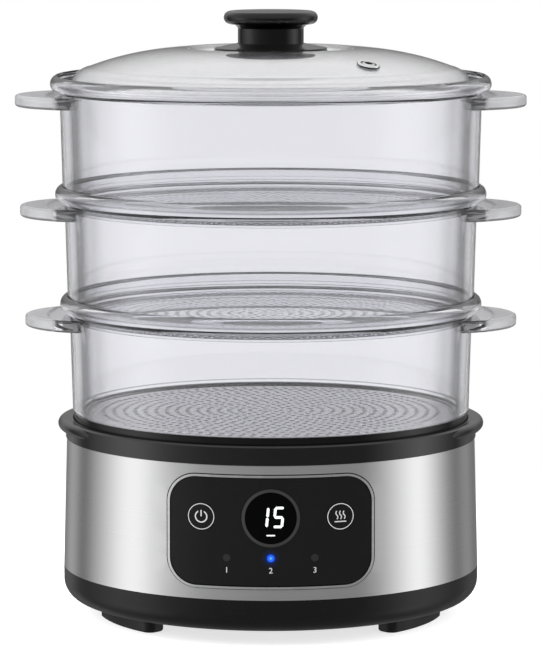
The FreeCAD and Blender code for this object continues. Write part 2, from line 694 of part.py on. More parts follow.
def water_reservoir():
    body = new_body("water_reservoir")
    floor_radius = "(reservoir_radius - reservoir_draft)"
    flange_bottom = "(seat_height - reservoir_wall)"
    revolve(body, "section", [
        ("heater_hole", "reservoir_floor"),
        (floor_radius + " - 2 * reservoir_wall", "reservoir_floor", "+0.4 * reservoir_wall"),
        (floor_radius, "reservoir_floor + 2 * reservoir_wall"),
        ("reservoir_radius", flange_bottom),
        ("reservoir_radius + reservoir_flange", flange_bottom),
        ("reservoir_radius + reservoir_flange", "seat_height"),
        ("reservoir_radius - reservoir_wall", "seat_height"),
        (floor_radius + " - reservoir_wall", "reservoir_floor + 2.5 * reservoir_wall"),
        (floor_radius + " - 2.5 * reservoir_wall", "reservoir_floor + reservoir_wall"),
        ("heater_hole", "reservoir_floor + reservoir_wall")])
    return body


def ring(label, inner, outer, low, high):
    """A flat ring, such as a gasket or a washer."""
    body = new_body(label)
    revolve(body, "section", [(inner, low), (outer, low), (outer, high), (inner, high)])
    return body


def heater_plate():
    body = new_body("heater_plate")
    low = "(heater_seat + heater_seal_height)"
    revolve(body, "section", [
        ("0", low), ("heater_plate_radius", low),
        ("heater_plate_radius", low + " + heater_plate_sheet"),
        ("0", low + " + heater_plate_sheet")])
    return body


def heater_element():
    """The aluminium block with its ring of heating tube and the two terminals of the tube."""
    body = new_body("heater_element")
    top = "(heater_seat + heater_seal_height)"
    inner = "(heater_tube_circle - heater_tube_radius)"
    outer = "(heater_tube_circle + heater_tube_radius)"
    revolve(body, "section", [
        ("0", "block_bottom"), (inner, "block_bottom", "+heater_tube_bulge"),
        (outer, "block_bottom"), ("heater_radius", "block_bottom"), ("heater_radius", top),
        ("0", top)])
    across = "sqrt(heater_tube_circle^2 - terminal_spread^2)"
    terminals = circles(body, "terminals", [(across, "terminal_spread"),
                                            (across, "-terminal_spread")],
                        "terminal_radius", "XY_Plane", "block_bottom - terminal_length")
    pad(body, terminals, "terminal_length")
    return body


def thermostat():
    body = new_body("thermostat")
    low = "(block_bottom - thermostat_height)"
    step = "(block_bottom - thermostat_flange)"
    revolve(body, "section", [
        ("0", low), ("thermostat_can", low), ("thermostat_can", step), ("thermostat_radius", step),
        ("thermostat_radius", "block_bottom"), ("0", "block_bottom")])
    return body


def thermal_fuse():
    """A capsule that lies against the underside of the heater's block."""
    body = new_body("thermal_fuse")
    height = "(block_bottom - fuse_radius)"
    place = "(thermostat_radius + 1.5 * fuse_radius)"
    sketch = circles(body, "round", [("-" + place, height)], "fuse_radius", "XZ_Plane",
                     "-fuse_length / 2")
    pad(body, sketch, "fuse_length")
    return body


def drip_tray():
    """The tray that catches drips round its chimney, and stands up under the lowest basket."""
    body = new_body("drip_tray")
    pan_floor = "(seat_height - tray_depth)"
    flange_top = "(seat_height + tray_sheet)"
    chimney_bore = "(chimney_radius - tray_sheet)"
    revolve(body, "section", [
        (chimney_bore, pan_floor),
        ("pan_radius - pan_draft", pan_floor),
        ("pan_radius", "seat_height"),
        ("tray_radius", "seat_height"),
        ("tray_radius", "tray_top"),
        ("tray_radius - tray_wall", "tray_top"),
        ("tray_radius - tray_wall", flange_top),
        ("pan_radius - tray_sheet", flange_top),
        ("pan_radius - pan_draft - tray_sheet", pan_floor + " + tray_sheet"),
        ("chimney_radius", pan_floor + " + tray_sheet"),
        ("chimney_radius", pan_floor + " + chimney_height"),
        (chimney_bore, pan_floor + " + chimney_height")])
    return body


# ---------------------------------------------------------------- baskets

def basket_sizes(index):
    """A basket, counted from 0: its outer radius under the rim, its shoulder's height and its top,
    then the radius and the depth of its foot ring."""
    radius = "(basket_radius + %d * basket_step)" % index
    top = "(tray_top + lowest_height + %d * basket_pitch)" % index
    if index == 0:
        return radius, "tray_top", top, "(tray_radius - tray_wall - foot_ring_gap)", "lowest_foot_ring"
    shoulder = "(%s - basket_pitch - nest_depth)" % top
    return (radius, shoulder, top, "(%s - basket_step - basket_wall - foot_ring_gap)" % radius,
            "foot_ring")


def basket(index):
    """A clear basket: bead rim with a channel, tapered wall, shoulder, foot ring and handles."""
    radius, shoulder, top, ring_radius, ring_depth = basket_sizes(index)
    body = new_body("tier_%d_basket" % (index + 1))
    channel = "(%s + channel_width)" % radius
    ring_bottom = "(%s - %s)" % (shoulder, ring_depth)
    ring_bore = "(%s - foot_ring_wall)" % ring_radius
    wall_foot = "(%s - basket_draft)" % radius
    revolve(body, "section", [
        (ring_bore + " - floor_ledge", ring_bottom),
        (ring_radius, ring_bottom),
        (ring_radius, shoulder),
        (wall_foot, shoulder),
        (radius, top + " - rim_height", "+rim_bulge"),
        (channel + " + rim_lip", top),
        (channel, top),
        (channel, top + " - nest_depth"),
        (radius + " - basket_wall", top + " - nest_depth"),
        (wall_foot + " - basket_wall", shoulder + " + basket_wall"),
        (ring_bore, shoulder + " + basket_wall"),
        (ring_bore, ring_bottom + " + ledge_sheet"),
        (ring_bore + " - floor_ledge", ring_bottom + " + ledge_sheet")])
    root = "(%s - 0.5 * basket_wall)" % radius
    root_x = "sqrt(%s^2 - handle_half_width^2)" % root
    plan = outline(body, "handle", [
        (root_x, "-handle_half_width", "+%s + handle_reach - %s" % (radius, root_x)),
        (root_x, "handle_half_width", "-%s - %s" % (root, root_x))], "XY_Plane",
        top + " - handle_drop - handle_thickness")
    handle = pad(body, plan, "handle_thickness")
    both = mirror(body, handle, "YZ_Plane")
    reach = size(radius) + 0.6 * size("handle_reach")
    round_edges(body, both, "handle_round",
                lambda edge: edge.BoundBox.ZLength < 0.01 * size("handle_thickness")
                and max(abs(edge.BoundBox.XMax), abs(edge.BoundBox.XMin)) > reach)
    return body


def basket_floor(index):
    """The perforated floor that lies on the ledge of a basket's foot ring."""
    radius, shoulder, top, ring_radius, ring_depth = basket_sizes(index)
    body = new_body("tier_%d_floor" % (index + 1))
    low = "(%s - %s + ledge_sheet)" % (shoulder, ring_depth)
    disc = circles(body, "disc", [("0", "0")], ring_radius + " - foot_ring_wall - fit_gap",
                   "XY_Plane", low)
    pad(body, disc, "floor_sheet")
    for ring_number, count in enumerate(("slots_inner", "slots_middle", "slots_outer"), start=1):
        middle = "(%d * slot_ring_step + slot_length / 2)" % ring_number
        slot = rectangle(body, "slot_%d" % ring_number, middle + " - slot_length / 2",
                         middle + " + slot_length / 2", "-slot_width / 2", "slot_width / 2",
                         "XY_Plane", low)
        polar(body, pocket_out(body, slot, "2 * floor_sheet"), count)
    return body


# ---------------------------------------------------------------- lid

def lid_dome():
    """The clear dome: a flange in the top basket's channel, a crown and a well for the knob."""
    body = new_body("lid_dome")
    bore = "(knob_screw_radius + fit_gap)"
    mid_radius = "((crown_radius + well_radius) / 2)"
    mid_height = "((lid_crown + well_floor) / 2)"
    revolve(body, "section", [
        ("lid_radius - lid_wall", "lid_seat"),
        ("lid_radius", "lid_seat"),
        ("lid_radius", "lid_flange_top"),
        ("lid_foot", "lid_flange_top", "+shoulder_bulge"),
        ("shoulder_radius", "lid_shoulder", "+crown_bulge"),
        ("crown_radius", "lid_crown", "+well_bulge"),
        (mid_radius, mid_height, "-well_bulge"),
        ("well_radius", "well_floor"),
        (bore, "well_floor"),
        (bore, "well_floor - lid_wall"),
        ("well_radius", "well_floor - lid_wall", "+well_bulge"),
        (mid_radius, mid_height + " - lid_wall", "-well_bulge"),
        ("crown_radius", "lid_crown - lid_wall", "-crown_bulge"),
        ("shoulder_radius - 0.4 * lid_wall", "lid_shoulder - lid_wall", "-shoulder_bulge"),
        ("lid_foot - lid_wall", "lid_flange_top - lid_wall"),
        ("lid_radius - lid_wall", "lid_flange_top - lid_wall")])
    bore_tool = body.newObject("PartDesign::SubtractiveCylinder", "vent_hole")
    bind(bore_tool, "Radius", "vent_barrel + fit_gap")
    bore_tool.Height = size("6 * lid_wall")
    place = vent_placement()
    place.Base = place.Base - place.Rotation.multVec(Vector(0, 0, size("3 * lid_wall")))
    bore_tool.Placement = place
    body.Tip = bore_tool
    return body


def dome_point(radius):
    """Height and slope angle of the dome's outer face between shoulder and crown."""
    far = Vector(size("shoulder_radius"), size("lid_shoulder"), 0)
    near = Vector(size("crown_radius"), size("lid_crown"), 0)
    depth = size("crown_bulge")
    chord = near - far
    arc_radius = (chord.Length ** 2 / 4 + depth ** 2) / (2 * depth)
    left = Vector(-chord.y, chord.x, 0).normalize()
    centre = (far + near) / 2 + left * (arc_radius - depth)
    height = centre.y + (arc_radius ** 2 - (radius - centre.x) ** 2) ** 0.5
    return Vector(radius, height, 0), Vector(radius, height, 0) - centre


def vent_placement():
    """On the dome's outer face, with local Z along the dome's normal there."""
    radius = size("vent_circle")
    point, normal = dome_point(radius)
    outwards = Vector(size("sin(vent_azimuth)"), -size("cos(vent_azimuth)"), 0)
    direction = outwards * normal.x + Vector(0, 0, normal.y)
    base = outwards * radius + Vector(0, 0, point.y)
    return Placement(base, Rotation(Vector(0, 0, 1), direction))


def steam_vent():
    """A turned eyelet: domed flange outside, barrel through the dome and a rolled edge inside."""
    body = new_body("steam_vent")
    below = "(lid_wall + 3 * fit_gap)"
    revolve(body, "section", [
        ("vent_bore", "-%s - vent_curl" % below),
        ("vent_barrel + vent_curl", "-%s - vent_curl" % below),
        ("vent_barrel + vent_curl", "-" + below),
        ("vent_barrel", "-" + below),
        ("vent_barrel", "fit_gap"),
        ("vent_radius", "fit_gap", "+vent_bulge"),
        ("vent_face", "vent_height"),
        ("vent_mouth", "vent_height"),
        ("vent_bore", "vent_height - vent_flare")])
    body.Placement = vent_placement()
    return body


def knob_flange():
    """The skirt between the knob and the lid, with a stepped edge and a seat for the neck."""
    body = new_body("knob_flange")
    edge_top = "(well_floor + knob_flange_edge)"
    seat = "(well_floor + knob_flange_height)"
    ridge = "(knob_neck + knob_bore_gap)"
    step = "(well_floor + knob_flange_edge / 2)"
    revolve(body, "section", [
        ("knob_boss + knob_bore_gap", "well_floor"),
        ("knob_flange_radius", "well_floor"),
        ("knob_flange_radius", step),
        ("knob_flange_radius - knob_flange_step", step + " + knob_flange_step / 2"),
        ("knob_flange_radius - knob_flange_step", edge_top),
        (ridge, seat + " + knob_flange_step"),
        (ridge, seat),
        ("knob_boss + knob_bore_gap", seat)])
    return body


def lid_knob():
    """A mushroom knob, hollow under its disc round the boss that takes the screw."""
    body = new_body("lid_knob")
    seat = "(well_floor + knob_flange_height)"
    top = "(well_floor + knob_flange_height + knob_height)"
    disc = "(well_floor + knob_flange_height + knob_height - knob_disc)"
    roof = "(well_floor + knob_flange_height + knob_height - knob_disc / 2)"
    rim = "(knob_radius - knob_edge)"
    boss_foot = "(well_floor + 2 * fit_gap)"
    hole_top = "(well_floor + knob_screw_length)"
    revolve(body, "section", [
        ("0", hole_top),
        ("knob_screw_radius + fit_gap", hole_top),
        ("knob_screw_radius + fit_gap", boss_foot),
        ("knob_boss", boss_foot),
        ("knob_boss", roof),
        ("knob_neck - knob_wall", roof),
        ("knob_neck - knob_wall", seat),
        ("knob_neck", seat),
        ("knob_neck", disc + " - knob_flare", "-knob_flare_hollow"),
        (rim, disc, "+knob_edge"),
        (rim, top, "-knob_dish / 2"),
        ("knob_dish_flat", top + " - knob_dish"),
        ("0", top + " - knob_dish")])
    return body


def knob_screw():
    body = new_body("knob_screw")
    head_top = "(well_floor - lid_wall - washer_sheet)"
    revolve(body, "section", [
        ("0", head_top + " - screw_head_height"),
        ("0.6 * knob_screw_head", head_top + " - screw_head_height", "+0.2 * screw_head_height"),
        ("knob_screw_head", head_top),
        ("knob_screw_radius", head_top),
        ("knob_screw_radius", "well_floor + knob_screw_length - fit_gap"),
        ("0", "well_floor + knob_screw_length - fit_gap")])
    return body


# ---------------------------------------------------------------- control panel

def panel_bezel():
    """The bright frame that stands in the band's window."""
    body = new_body("panel_bezel")
    pad(body, rounded_panel(body, "outside", "bezel_gap"), "push")
    pocket_out(body, rounded_panel(body, "inside", "(bezel_gap + bezel_width)"), "far_out")
    trim_inside(body, "back", "panel_back")
    trim_outside(body, "face", "bezel_proud")
    return body


def board_posts():
    """Centres of the posts that carry the control board, in the panel's plane."""
    across = "(board_width / 2 - post_inset)"
    along = "(board_height / 2 - post_inset)"
    return [(sign_x + across, "panel_centre %s %s" % (sign_y, along))
            for sign_x in ("", "-") for sign_y in ("+", "-")]


def panel_fascia():
    """The gloss black front with its holes, and the posts behind it for the board."""
    body = panel_piece("panel_fascia",
                       lambda piece: rounded_panel(piece, "plan",
                                                   "(bezel_gap + bezel_width + fascia_gap)"),
                       "fascia_proud")
    display = circles(body, "display_hole", [("0", "display_height")],
                      "display_radius + display_ring_width + 2 * fit_gap")
    pocket_out(body, display, "push")
    buttons = circles(body, "button_holes", [("button_offset", "display_height"),
                                             ("-button_offset", "display_height")],
                      "button_radius + button_gap")
    pocket_out(body, buttons, "push")
    lights = circles(body, "light_holes", [("-light_spacing", "light_height"),
                                           ("0", "light_height"),
                                           ("light_spacing", "light_height")],
                     "light_radius + fit_gap")
    pocket_out(body, lights, "push")
    reach = "sqrt(band_top_radius^2 - (board_width / 2 - post_inset + post_radius)^2)"
    pad(body, circles(body, "posts", board_posts(), "post_radius", "XZ_Plane", "board_distance"),
        reach + " - board_distance")
    holes = circles(body, "post_holes", board_posts(), "board_screw_radius + fit_gap / 2",
                    "XZ_Plane", "board_distance")
    pocket_out(body, holes, "board_screw_length")
    return body


def display_ring():
    body = new_body("display_ring")
    outer = "display_radius + display_ring_width + fit_gap"
    pad(body, circles(body, "outside", [("0", "display_height")], outer), "push")
    pocket_out(body, circles(body, "inside", [("0", "display_height")],
                             "display_radius + fit_gap"), "far_out")
    trim_inside(body, "back", "panel_back")
    trim_outside(body, "face", "display_ring_proud")
    return body


def display_lens():
    return panel_piece("display_lens",
                       lambda piece: circles(piece, "plan", [("0", "display_height")],
                                             "display_radius"), "fascia_proud")


def indicator_light(label, steps):
    """A light pipe from the panel's face back to the control board."""
    body = new_body(label)
    place = [("%d * light_spacing" % steps, "light_height")]
    pad(body, circles(body, "plan", place, "light_radius"), "push")
    trim_inside(body, "back", "(panel_back - housing_wall)")
    trim_outside(body, "face", "fascia_proud")
    tail = circles(body, "tail", place, "light_pipe_radius", "XZ_Plane", "board_distance")
    pad(body, tail, "sqrt(panel_back^2 - (%d * light_spacing + light_radius)^2) - board_distance"
        % abs(steps))
    return body


def button(label, sign):
    """A cap flush with the fascia, a flange behind the fascia and a stem towards its switch."""
    body = new_body(label)
    place = [(sign + "button_offset", "display_height")]
    flange_face = "(panel_back - button_gap)"
    pad(body, circles(body, "flange", place, "button_radius + button_flange"), "push")
    revolve(body, "flange_face", [
        (flange_face, "band_bottom"), ("far_out", "band_bottom"),
        ("far_out", "band_top"), (flange_face, "band_top")], "PartDesign::Groove")
    pad(body, circles(body, "cap", place, "button_radius"), "push")
    trim_outside(body, "face", "fascia_proud")
    trim_inside(body, "back", "button_back")
    stem = circles(body, "stem", place, "button_stem", "XZ_Plane", "stem_back")
    pad(body, stem, "sqrt(button_back^2 - (button_offset - button_stem)^2) + fit_gap - stem_back")
    return body


def tact_switch(label, sign):
    body = new_body(label)
    middle = "%sbutton_offset" % sign
    case = rectangle(body, "case", middle + " - switch_size / 2", middle + " + switch_size / 2",
                     "display_height - switch_size / 2", "display_height + switch_size / 2",
                     "XZ_Plane", "board_distance")
    pad(body, case, "switch_depth")
    plunger = circles(body, "plunger", [(middle, "display_height")], "plunger_radius", "XZ_Plane",
                      "board_distance + switch_depth")
    pad(body, plunger, "plunger_length")
    return body


def control_board():
    body = new_body("control_board")
    plan = rectangle(body, "plan", "-board_width / 2", "board_width / 2",
                     "panel_centre - board_height / 2", "panel_centre + board_height / 2",
                     "XZ_Plane", "board_distance - board_sheet")
    pad(body, plan, "board_sheet")
    holes = circles(body, "holes", board_posts(), "board_screw_radius + fit_gap", "XZ_Plane",
                    "board_distance - board_sheet")
    pocket_out(body, holes, "2 * board_sheet")
    return body


def display_module():
    body = new_body("display_module")
    half = "module_size / 2"
    plan = rectangle(body, "plan", "-" + half, half, "display_height - " + half,
                     "display_height + " + half, "XZ_Plane", "board_distance")
    pad(body, plan, "sqrt(panel_back^2 - (%s)^2) - module_gap - board_distance" % half)
    return body


# ---------------------------------------------------------------- power side

def power_board():
    body = new_body("power_board")
    lift = "(cover_top + power_board_lift)"
    plan = rectangle(body, "plan", "-power_board_length / 2", "power_board_length / 2",
                     "-power_board_width / 2", "power_board_width / 2", "XY_Plane", lift)
    pad(body, plan, "board_sheet")
    holes = circles(body, "holes", standoffs(), "board_screw_radius + fit_gap", "XY_Plane", lift)
    pocket_out(body, holes, "2 * board_sheet")
    return body


def power_relay():
    body = new_body("power_relay")
    low = "(cover_top + power_board_lift + board_sheet)"
    corner = "power_board_length / 2 - standoff_inset"
    plan = rectangle(body, "plan", corner + " - relay_length", corner, "-relay_width / 2",
                     "relay_width / 2", "XY_Plane", low)
    pad(body, plan, "relay_height")
    return body


def cord_gland():
    """The bushing at the back that the cord comes in through."""
    body = new_body("cord_gland")
    place = [("0", "gland_height")]
    inside = "(backing_radius - 2 * housing_wall)"
    tube = circles(body, "tube", place, "gland_bore + gland_wall", "XZ_Plane", "-" + inside)
    extrude(body, tube, "housing_radius - " + inside, "PartDesign::Pad", True)
    flange = circles(body, "flange", place, "gland_flange", "XZ_Plane", "-housing_radius")
    extrude(body, flange, "gland_flange_depth", "PartDesign::Pad", True)
    pocket_back(body, circles(body, "bore", place, "gland_bore"), "push")
    return body


def screw_group(label, make_screw, places):
    """Equal screws in one node, as a compound of separate solids."""
    group = doc.addObject("Part::Feature", label)
    group.Label = label
    group.Shape = Part.makeCompound([make_screw().transformed(place.toMatrix())
                                     for place in places])
    group.Placement = Placement()
    PARTS.append(group)
    return group


def turned_screw(radius, length, head_radius, head_height):
    """A screw along +Z with its head below the origin."""
    head = Part.makeCone(0.8 * head_radius, head_radius, head_height, Vector(0, 0, -head_height))
    shank = Part.makeCylinder(radius, length)
    return head.fuse(shank).removeSplitter()


def bottom_screw():
    return turned_screw(size("screw_radius"), size("screw_length"), size("screw_head_radius"),
                        size("screw_head_height"))


def board_screw():
    return turned_screw(size("board_screw_radius"),
                        size("board_screw_length + board_sheet - 2 * fit_gap"),
                        size("2 * board_screw_radius"), size("board_screw_radius"))


def quarter_turns():
    places = []
    for turn in range(4):
        spin = Rotation(Vector(0, 0, 1), 90 * turn)
        reach = Vector(size("screw_circle"), 0, size("foot_height"))
        places.append(Placement(spin.multVec(reach), spin))
    return places


def post_places():
    """Behind the control board, with the screws pointing at the panel."""
    towards_panel = Rotation(Vector(0, 0, 1), Vector(0, -1, 0))
    back = -size("board_distance - board_sheet")
    return [Placement(Vector(size(x_text), back, size(z_text)), towards_panel)
            for x_text, z_text in board_posts()]


def standoff_places():
    """Over the power board, with the screws pointing down into the standoffs."""
    head_down = Rotation(Vector(1, 0, 0), 180)
    top = size("cover_top + power_board_lift + board_sheet")
    return [Placement(Vector(size(x_text), size(y_text), top), head_down)
            for x_text, y_text in standoffs()]


# ---------------------------------------------------------------- the assembly

lower_housing()
steel_band()
bottom_cover()
screw_group("bottom_screws", bottom_screw, quarter_turns())
tilt = size("foot_azimuth")
for foot_label, foot_turn in (("foot_front_right", -tilt), ("foot_back_right", tilt),
                              ("foot_back_left", 180 - tilt), ("foot_front_left", 180 + tilt)):
    foot(foot_label, foot_turn)
base_collar()
water_reservoir()
ring("reservoir_gasket", "collar_bore + fit_gap", "reservoir_radius + reservoir_flange",
     "seat_height - reservoir_wall - gasket_height", "seat_height - reservoir_wall")
heater_plate()
ring("heater_seal", "heater_hole", "heater_plate_radius", "heater_seat",
     "heater_seat + heater_seal_height")
heater_element()
thermostat()
thermal_fuse()
drip_tray()
for basket_index in range(3):
    basket(basket_index)
    basket_floor(basket_index)
lid_dome()
steam_vent()
knob_flange()
lid_knob()
ring("knob_washer", "knob_screw_radius + fit_gap", "washer_radius",
     "well_floor - lid_wall - washer_sheet", "well_floor - lid_wall")
knob_screw()
panel_bezel()
panel_fascia()
display_ring()
display_lens()
display_module()
indicator_light("light_low", -1)
indicator_light("light_medium", 0)
indicator_light("light_high", 1)
button("power_button", "-")
button("steam_button", "")
tact_switch("power_switch", "-")
tact_switch("steam_switch", "")
control_board()
screw_group("board_screws", board_screw, post_places())
power_board()
screw_group("power_board_screws", board_screw, standoff_places())
power_relay()
cord_gland()

doc.recompute()

REMOVING = ("PartDesign::Pocket", "PartDesign::Groove", "PartDesign::SubtractiveCylinder")
for item in doc.Objects:
    if "Invalid" in item.State or "Error" in item.State:
        raise RuntimeError("failed object: " + item.Label)
    if item.TypeId in REMOVING and item.BaseFeature:
        if item.Shape.Volume >= item.BaseFeature.Shape.Volume - 1e-3:
            raise RuntimeError("cuts nothing: " + item.Label)

os.makedirs("parts", exist_ok=True)
for part in PARTS:
    if part.Shape.isNull() or not part.Shape.isValid():
        raise RuntimeError("bad shape: " + part.Label)
    part.Shape.exportStep("parts/%s.step" % part.Label)
    print("%-18s %3d solid(s) %10.1f mm3" % (part.Label, len(part.Shape.Solids),
                                             part.Shape.Volume))
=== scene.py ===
# %% [markdown]
# # A clear food steamer on a white table
# The engineering model brings every piece of the steamer at its real size and place. This lesson
# dresses those pieces: it gives each one its finish, models the fine things that a drawing leaves
# out (the perforated floors, the printed signs, the lit digits) and sets up light and camera.
# Everything is in metres, +Z is up, and the control panel faces -Y.

# %% Load the frame
import math
import bpy
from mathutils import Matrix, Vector


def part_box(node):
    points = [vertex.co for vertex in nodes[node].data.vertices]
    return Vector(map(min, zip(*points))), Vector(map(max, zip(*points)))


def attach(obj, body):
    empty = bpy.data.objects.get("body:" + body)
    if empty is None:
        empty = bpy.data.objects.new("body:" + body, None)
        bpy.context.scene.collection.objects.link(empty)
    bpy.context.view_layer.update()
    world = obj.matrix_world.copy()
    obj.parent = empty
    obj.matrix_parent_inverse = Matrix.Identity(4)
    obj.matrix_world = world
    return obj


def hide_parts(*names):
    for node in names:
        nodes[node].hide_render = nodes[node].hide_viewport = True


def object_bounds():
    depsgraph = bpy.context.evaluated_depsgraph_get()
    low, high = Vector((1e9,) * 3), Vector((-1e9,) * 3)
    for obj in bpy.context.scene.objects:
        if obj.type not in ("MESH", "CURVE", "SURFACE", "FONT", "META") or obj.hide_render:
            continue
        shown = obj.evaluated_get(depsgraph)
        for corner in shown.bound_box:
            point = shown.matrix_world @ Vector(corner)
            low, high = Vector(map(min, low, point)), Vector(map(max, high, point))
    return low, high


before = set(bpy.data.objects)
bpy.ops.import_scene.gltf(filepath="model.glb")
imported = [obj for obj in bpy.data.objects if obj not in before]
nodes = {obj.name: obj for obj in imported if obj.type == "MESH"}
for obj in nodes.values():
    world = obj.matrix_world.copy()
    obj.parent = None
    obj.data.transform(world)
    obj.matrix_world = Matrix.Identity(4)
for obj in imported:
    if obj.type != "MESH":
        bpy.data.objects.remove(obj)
cad_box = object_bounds()
print("nodes:", len(nodes), "box:", [round(v, 4) for corner in cad_box for v in corner])

MM = 0.001

# %% [markdown]
# ## Ways of working
# A finish in Blender is a small graph of nodes. A few helpers keep the graphs short: start makes a
# material with its Principled shader, add makes a node with its values, and the others are nodes
# that come back often, such as a noise, a ramp or a bump. Values that are the same all over a
# surface go straight onto the shader.

# %% Helpers for materials


def start(name, **sockets):
    """A new material: returns it, its node tree and its shader with the given sockets set."""
    material = bpy.data.materials.new(name)
    material.use_nodes = True
    tree = material.node_tree
    shader = tree.nodes["Principled BSDF"]
    for socket, value in sockets.items():
        shader.inputs[socket.replace("_", " ")].default_value = value
    return material, tree, shader


def add(tree, kind, settings=None, **inputs):
    """One node. Inputs take a number, a colour or another node's output."""
    node = tree.nodes.new(kind)
    for key, value in (settings or {}).items():
        setattr(node, key, value)
    for key, value in inputs.items():
        socket = node.inputs[int(key[1:])] if key[0] == "_" else node.inputs[key.replace("_", " ")]
        if isinstance(value, bpy.types.NodeSocket):
            tree.links.new(value, socket)
        else:
            socket.default_value = value
    return node


def place(tree, scale=(1, 1, 1)):
    """The point on the piece in its own coordinates, stretched for a pattern."""
    coordinates = add(tree, "ShaderNodeTexCoord")
    mapping = add(tree, "ShaderNodeMapping", Vector=coordinates.outputs["Object"])
    mapping.inputs["Scale"].default_value = scale
    return mapping.outputs["Vector"]


def noise(tree, where, scale, detail=3.0, roughness=0.5):
    """A cloudy pattern. scale is the number of clouds per metre."""
    return add(tree, "ShaderNodeTexNoise", Vector=where, Scale=scale, Detail=detail,
               Roughness=roughness).outputs["Fac"]


def stretch(tree, value, low, high, from_low=0.3, from_high=0.7):
    """A value spread over a new range. The old one is what a cloudy pattern mostly gives."""
    return add(tree, "ShaderNodeMapRange", Value=value, _1=from_low, _2=from_high, _3=low,
               _4=high).outputs["Result"]


def ramp(tree, value, stops):
    """Colours along a value: stops are (position, colour) pairs."""
    node = add(tree, "ShaderNodeValToRGB", Fac=value)
    band = node.color_ramp
    band.elements.remove(band.elements[1])
    band.elements[0].position = stops[0][0]
    band.elements[0].color = (*stops[0][1], 1.0)
    for position, colour in stops[1:]:
        band.elements.new(position).color = (*colour, 1.0)
    return node.outputs["Color"]


def bump(tree, shader, height, strength, distance):
    """Small relief from a pattern. distance is its depth in metres."""
    node = add(tree, "ShaderNodeBump", Height=height, Strength=strength, Distance=distance)
    tree.links.new(node.outputs["Normal"], shader.inputs["Normal"])


def mix(tree, share, first, second):
    """Two colours mixed: share 0 gives the first, 1 the second."""
    return add(tree, "ShaderNodeMix", {"data_type": "RGBA"}, _0=share, _6=first,
               _7=second).outputs[2]


def arithmetic(tree, operation, *values):
    """One sum on numbers or on other nodes' outputs."""
    inputs = {"_%d" % index: value for index, value in enumerate(values)}
    return add(tree, "ShaderNodeMath", {"operation": operation}, **inputs).outputs["Value"]


def grey(level):
    return (level, level, level)


# %% [markdown]
# ## Clear plastic
# The baskets, their floors and the lid are moulded from clear, slightly lilac plastic. They
# transmit nearly all light, and the plastic's own index of refraction makes the rims dark and
# bright by themselves, as a real refracting body does. The colour goes by the slant of the face:
# where the view passes straight through it stays clear, and towards the outlines it darkens,
# partly the plastic's tint and partly painted shade. The upright sides of the baskets also get
# painted refraction, dark and bright stripes along their outlines. A little uneven gloss and a
# slow waviness stand for the flow marks of the moulding. The lid is slightly hazed and has a
# glossy coat. The handles are moulded solid and thick, so they look milky where the thin walls
# look clear, and they get painted light and shade: dark underneath, palest on top.

# %% Clear plastic
CLEARNESS = 0.97
# Colours from faces seen straight on to faces seen along: the darkening is partly the plastic's
# tint and partly painted shade at the outlines.
CLEAR_EDGE_SHADE = [(0.20, (0.93, 0.93, 0.95)), (0.45, (0.82, 0.82, 0.85)), (0.75, (0.62, 0.62, 0.66)),
              (0.95, (0.54, 0.54, 0.59))]
LID_EDGE_SHADE = [(0.55, (0.98, 0.98, 0.985)), (0.95, (0.66, 0.66, 0.695))]
FLOOR_EDGE_SHADE = [(0.45, (0.86, 0.86, 0.88)), (0.90, (0.46, 0.46, 0.48))]
LILAC = 1.03
# Faces whose normal leans up or down by less than the first share count as upright, and by more
# than the second as flat.
UPRIGHT_FACES = (0.06, 0.2)
# Painted refraction along the side of a round wall, from its middle to its outline: clear, a
# painted dark stripe where the inner face turns away, a painted bright one inside the wall, and a
# painted dark outline.
PAINTED_WALL_STRIPES = [(0.20, 0.93), (0.43, 0.84), (0.52, 0.66), (0.56, 0.70), (0.62, 0.44),
                (0.666, 0.18), (0.72, 0.50), (0.78, 0.92), (0.84, 0.80), (0.90, 0.40),
                (0.97, 0.28)]
RIM_RADIUS = 138.5 * MM
HANDLE_ROOT = 3.0 * MM
HANDLE_CLEARNESS = 0.25
# Painted light and shade on a handle, from its under side to its top: its lower edge is painted
# dark and its flat top palest, as if lit from above.
PAINTED_HANDLE_SHADE = [(0.02, 0.56), (0.12, 0.22), (0.38, 0.22), (0.46, 0.56), (0.955, 0.50),
                (0.99, 0.95)]


def lilac(stops):
    """Colour stops from (position, level) pairs, a little bluer than grey."""
    return [(at, (level, level, level * LILAC)) for at, level in stops]


def facing_up(tree):
    """Where a face looks: -1 straight down, 0 to a side, 1 straight up."""
    normal = add(tree, "ShaderNodeNewGeometry").outputs["Normal"]
    return add(tree, "ShaderNodeSeparateXYZ", Vector=normal).outputs["Z"]


def clear_plastic(name, edge, wall=None, specular=0.5, haze=0.0):
    """Colours by slant: straight through the plastic first, along it last, where painted shade
    darkens the outline. wall holds the painted stripes of upright faces, which are the sides of the
    baskets."""
    material, tree, shader = start(name, Transmission_Weight=CLEARNESS, IOR=1.49,
                                   Specular_IOR_Level=specular)
    slant = add(tree, "ShaderNodeLayerWeight", Blend=0.5).outputs["Facing"]
    colour = ramp(tree, slant, edge)
    if wall:
        tilt = arithmetic(tree, "ABSOLUTE", facing_up(tree))
        flat = stretch(tree, tilt, 0.0, 1.0, *UPRIGHT_FACES)
        colour = mix(tree, flat, ramp(tree, slant, wall), colour)
    tree.links.new(colour, shader.inputs["Base Color"])
    where = place(tree)
    tree.links.new(stretch(tree, noise(tree, where, 60.0), haze, haze + 0.02),
                   shader.inputs["Roughness"])
    bump(tree, shader, noise(tree, where, 22.0, 1.0), 0.1, 0.000005)
    return material


clear = clear_plastic("clear_plastic", CLEAR_EDGE_SHADE, lilac(PAINTED_WALL_STRIPES))
clear_lid = clear_plastic("clear_lid", LID_EDGE_SHADE, haze=0.06)
clear_lid.node_tree.nodes["Principled BSDF"].inputs["Coat Weight"].default_value = 1.0
clear_floor = clear_plastic("clear_floor", FLOOR_EDGE_SHADE, specular=0.1)

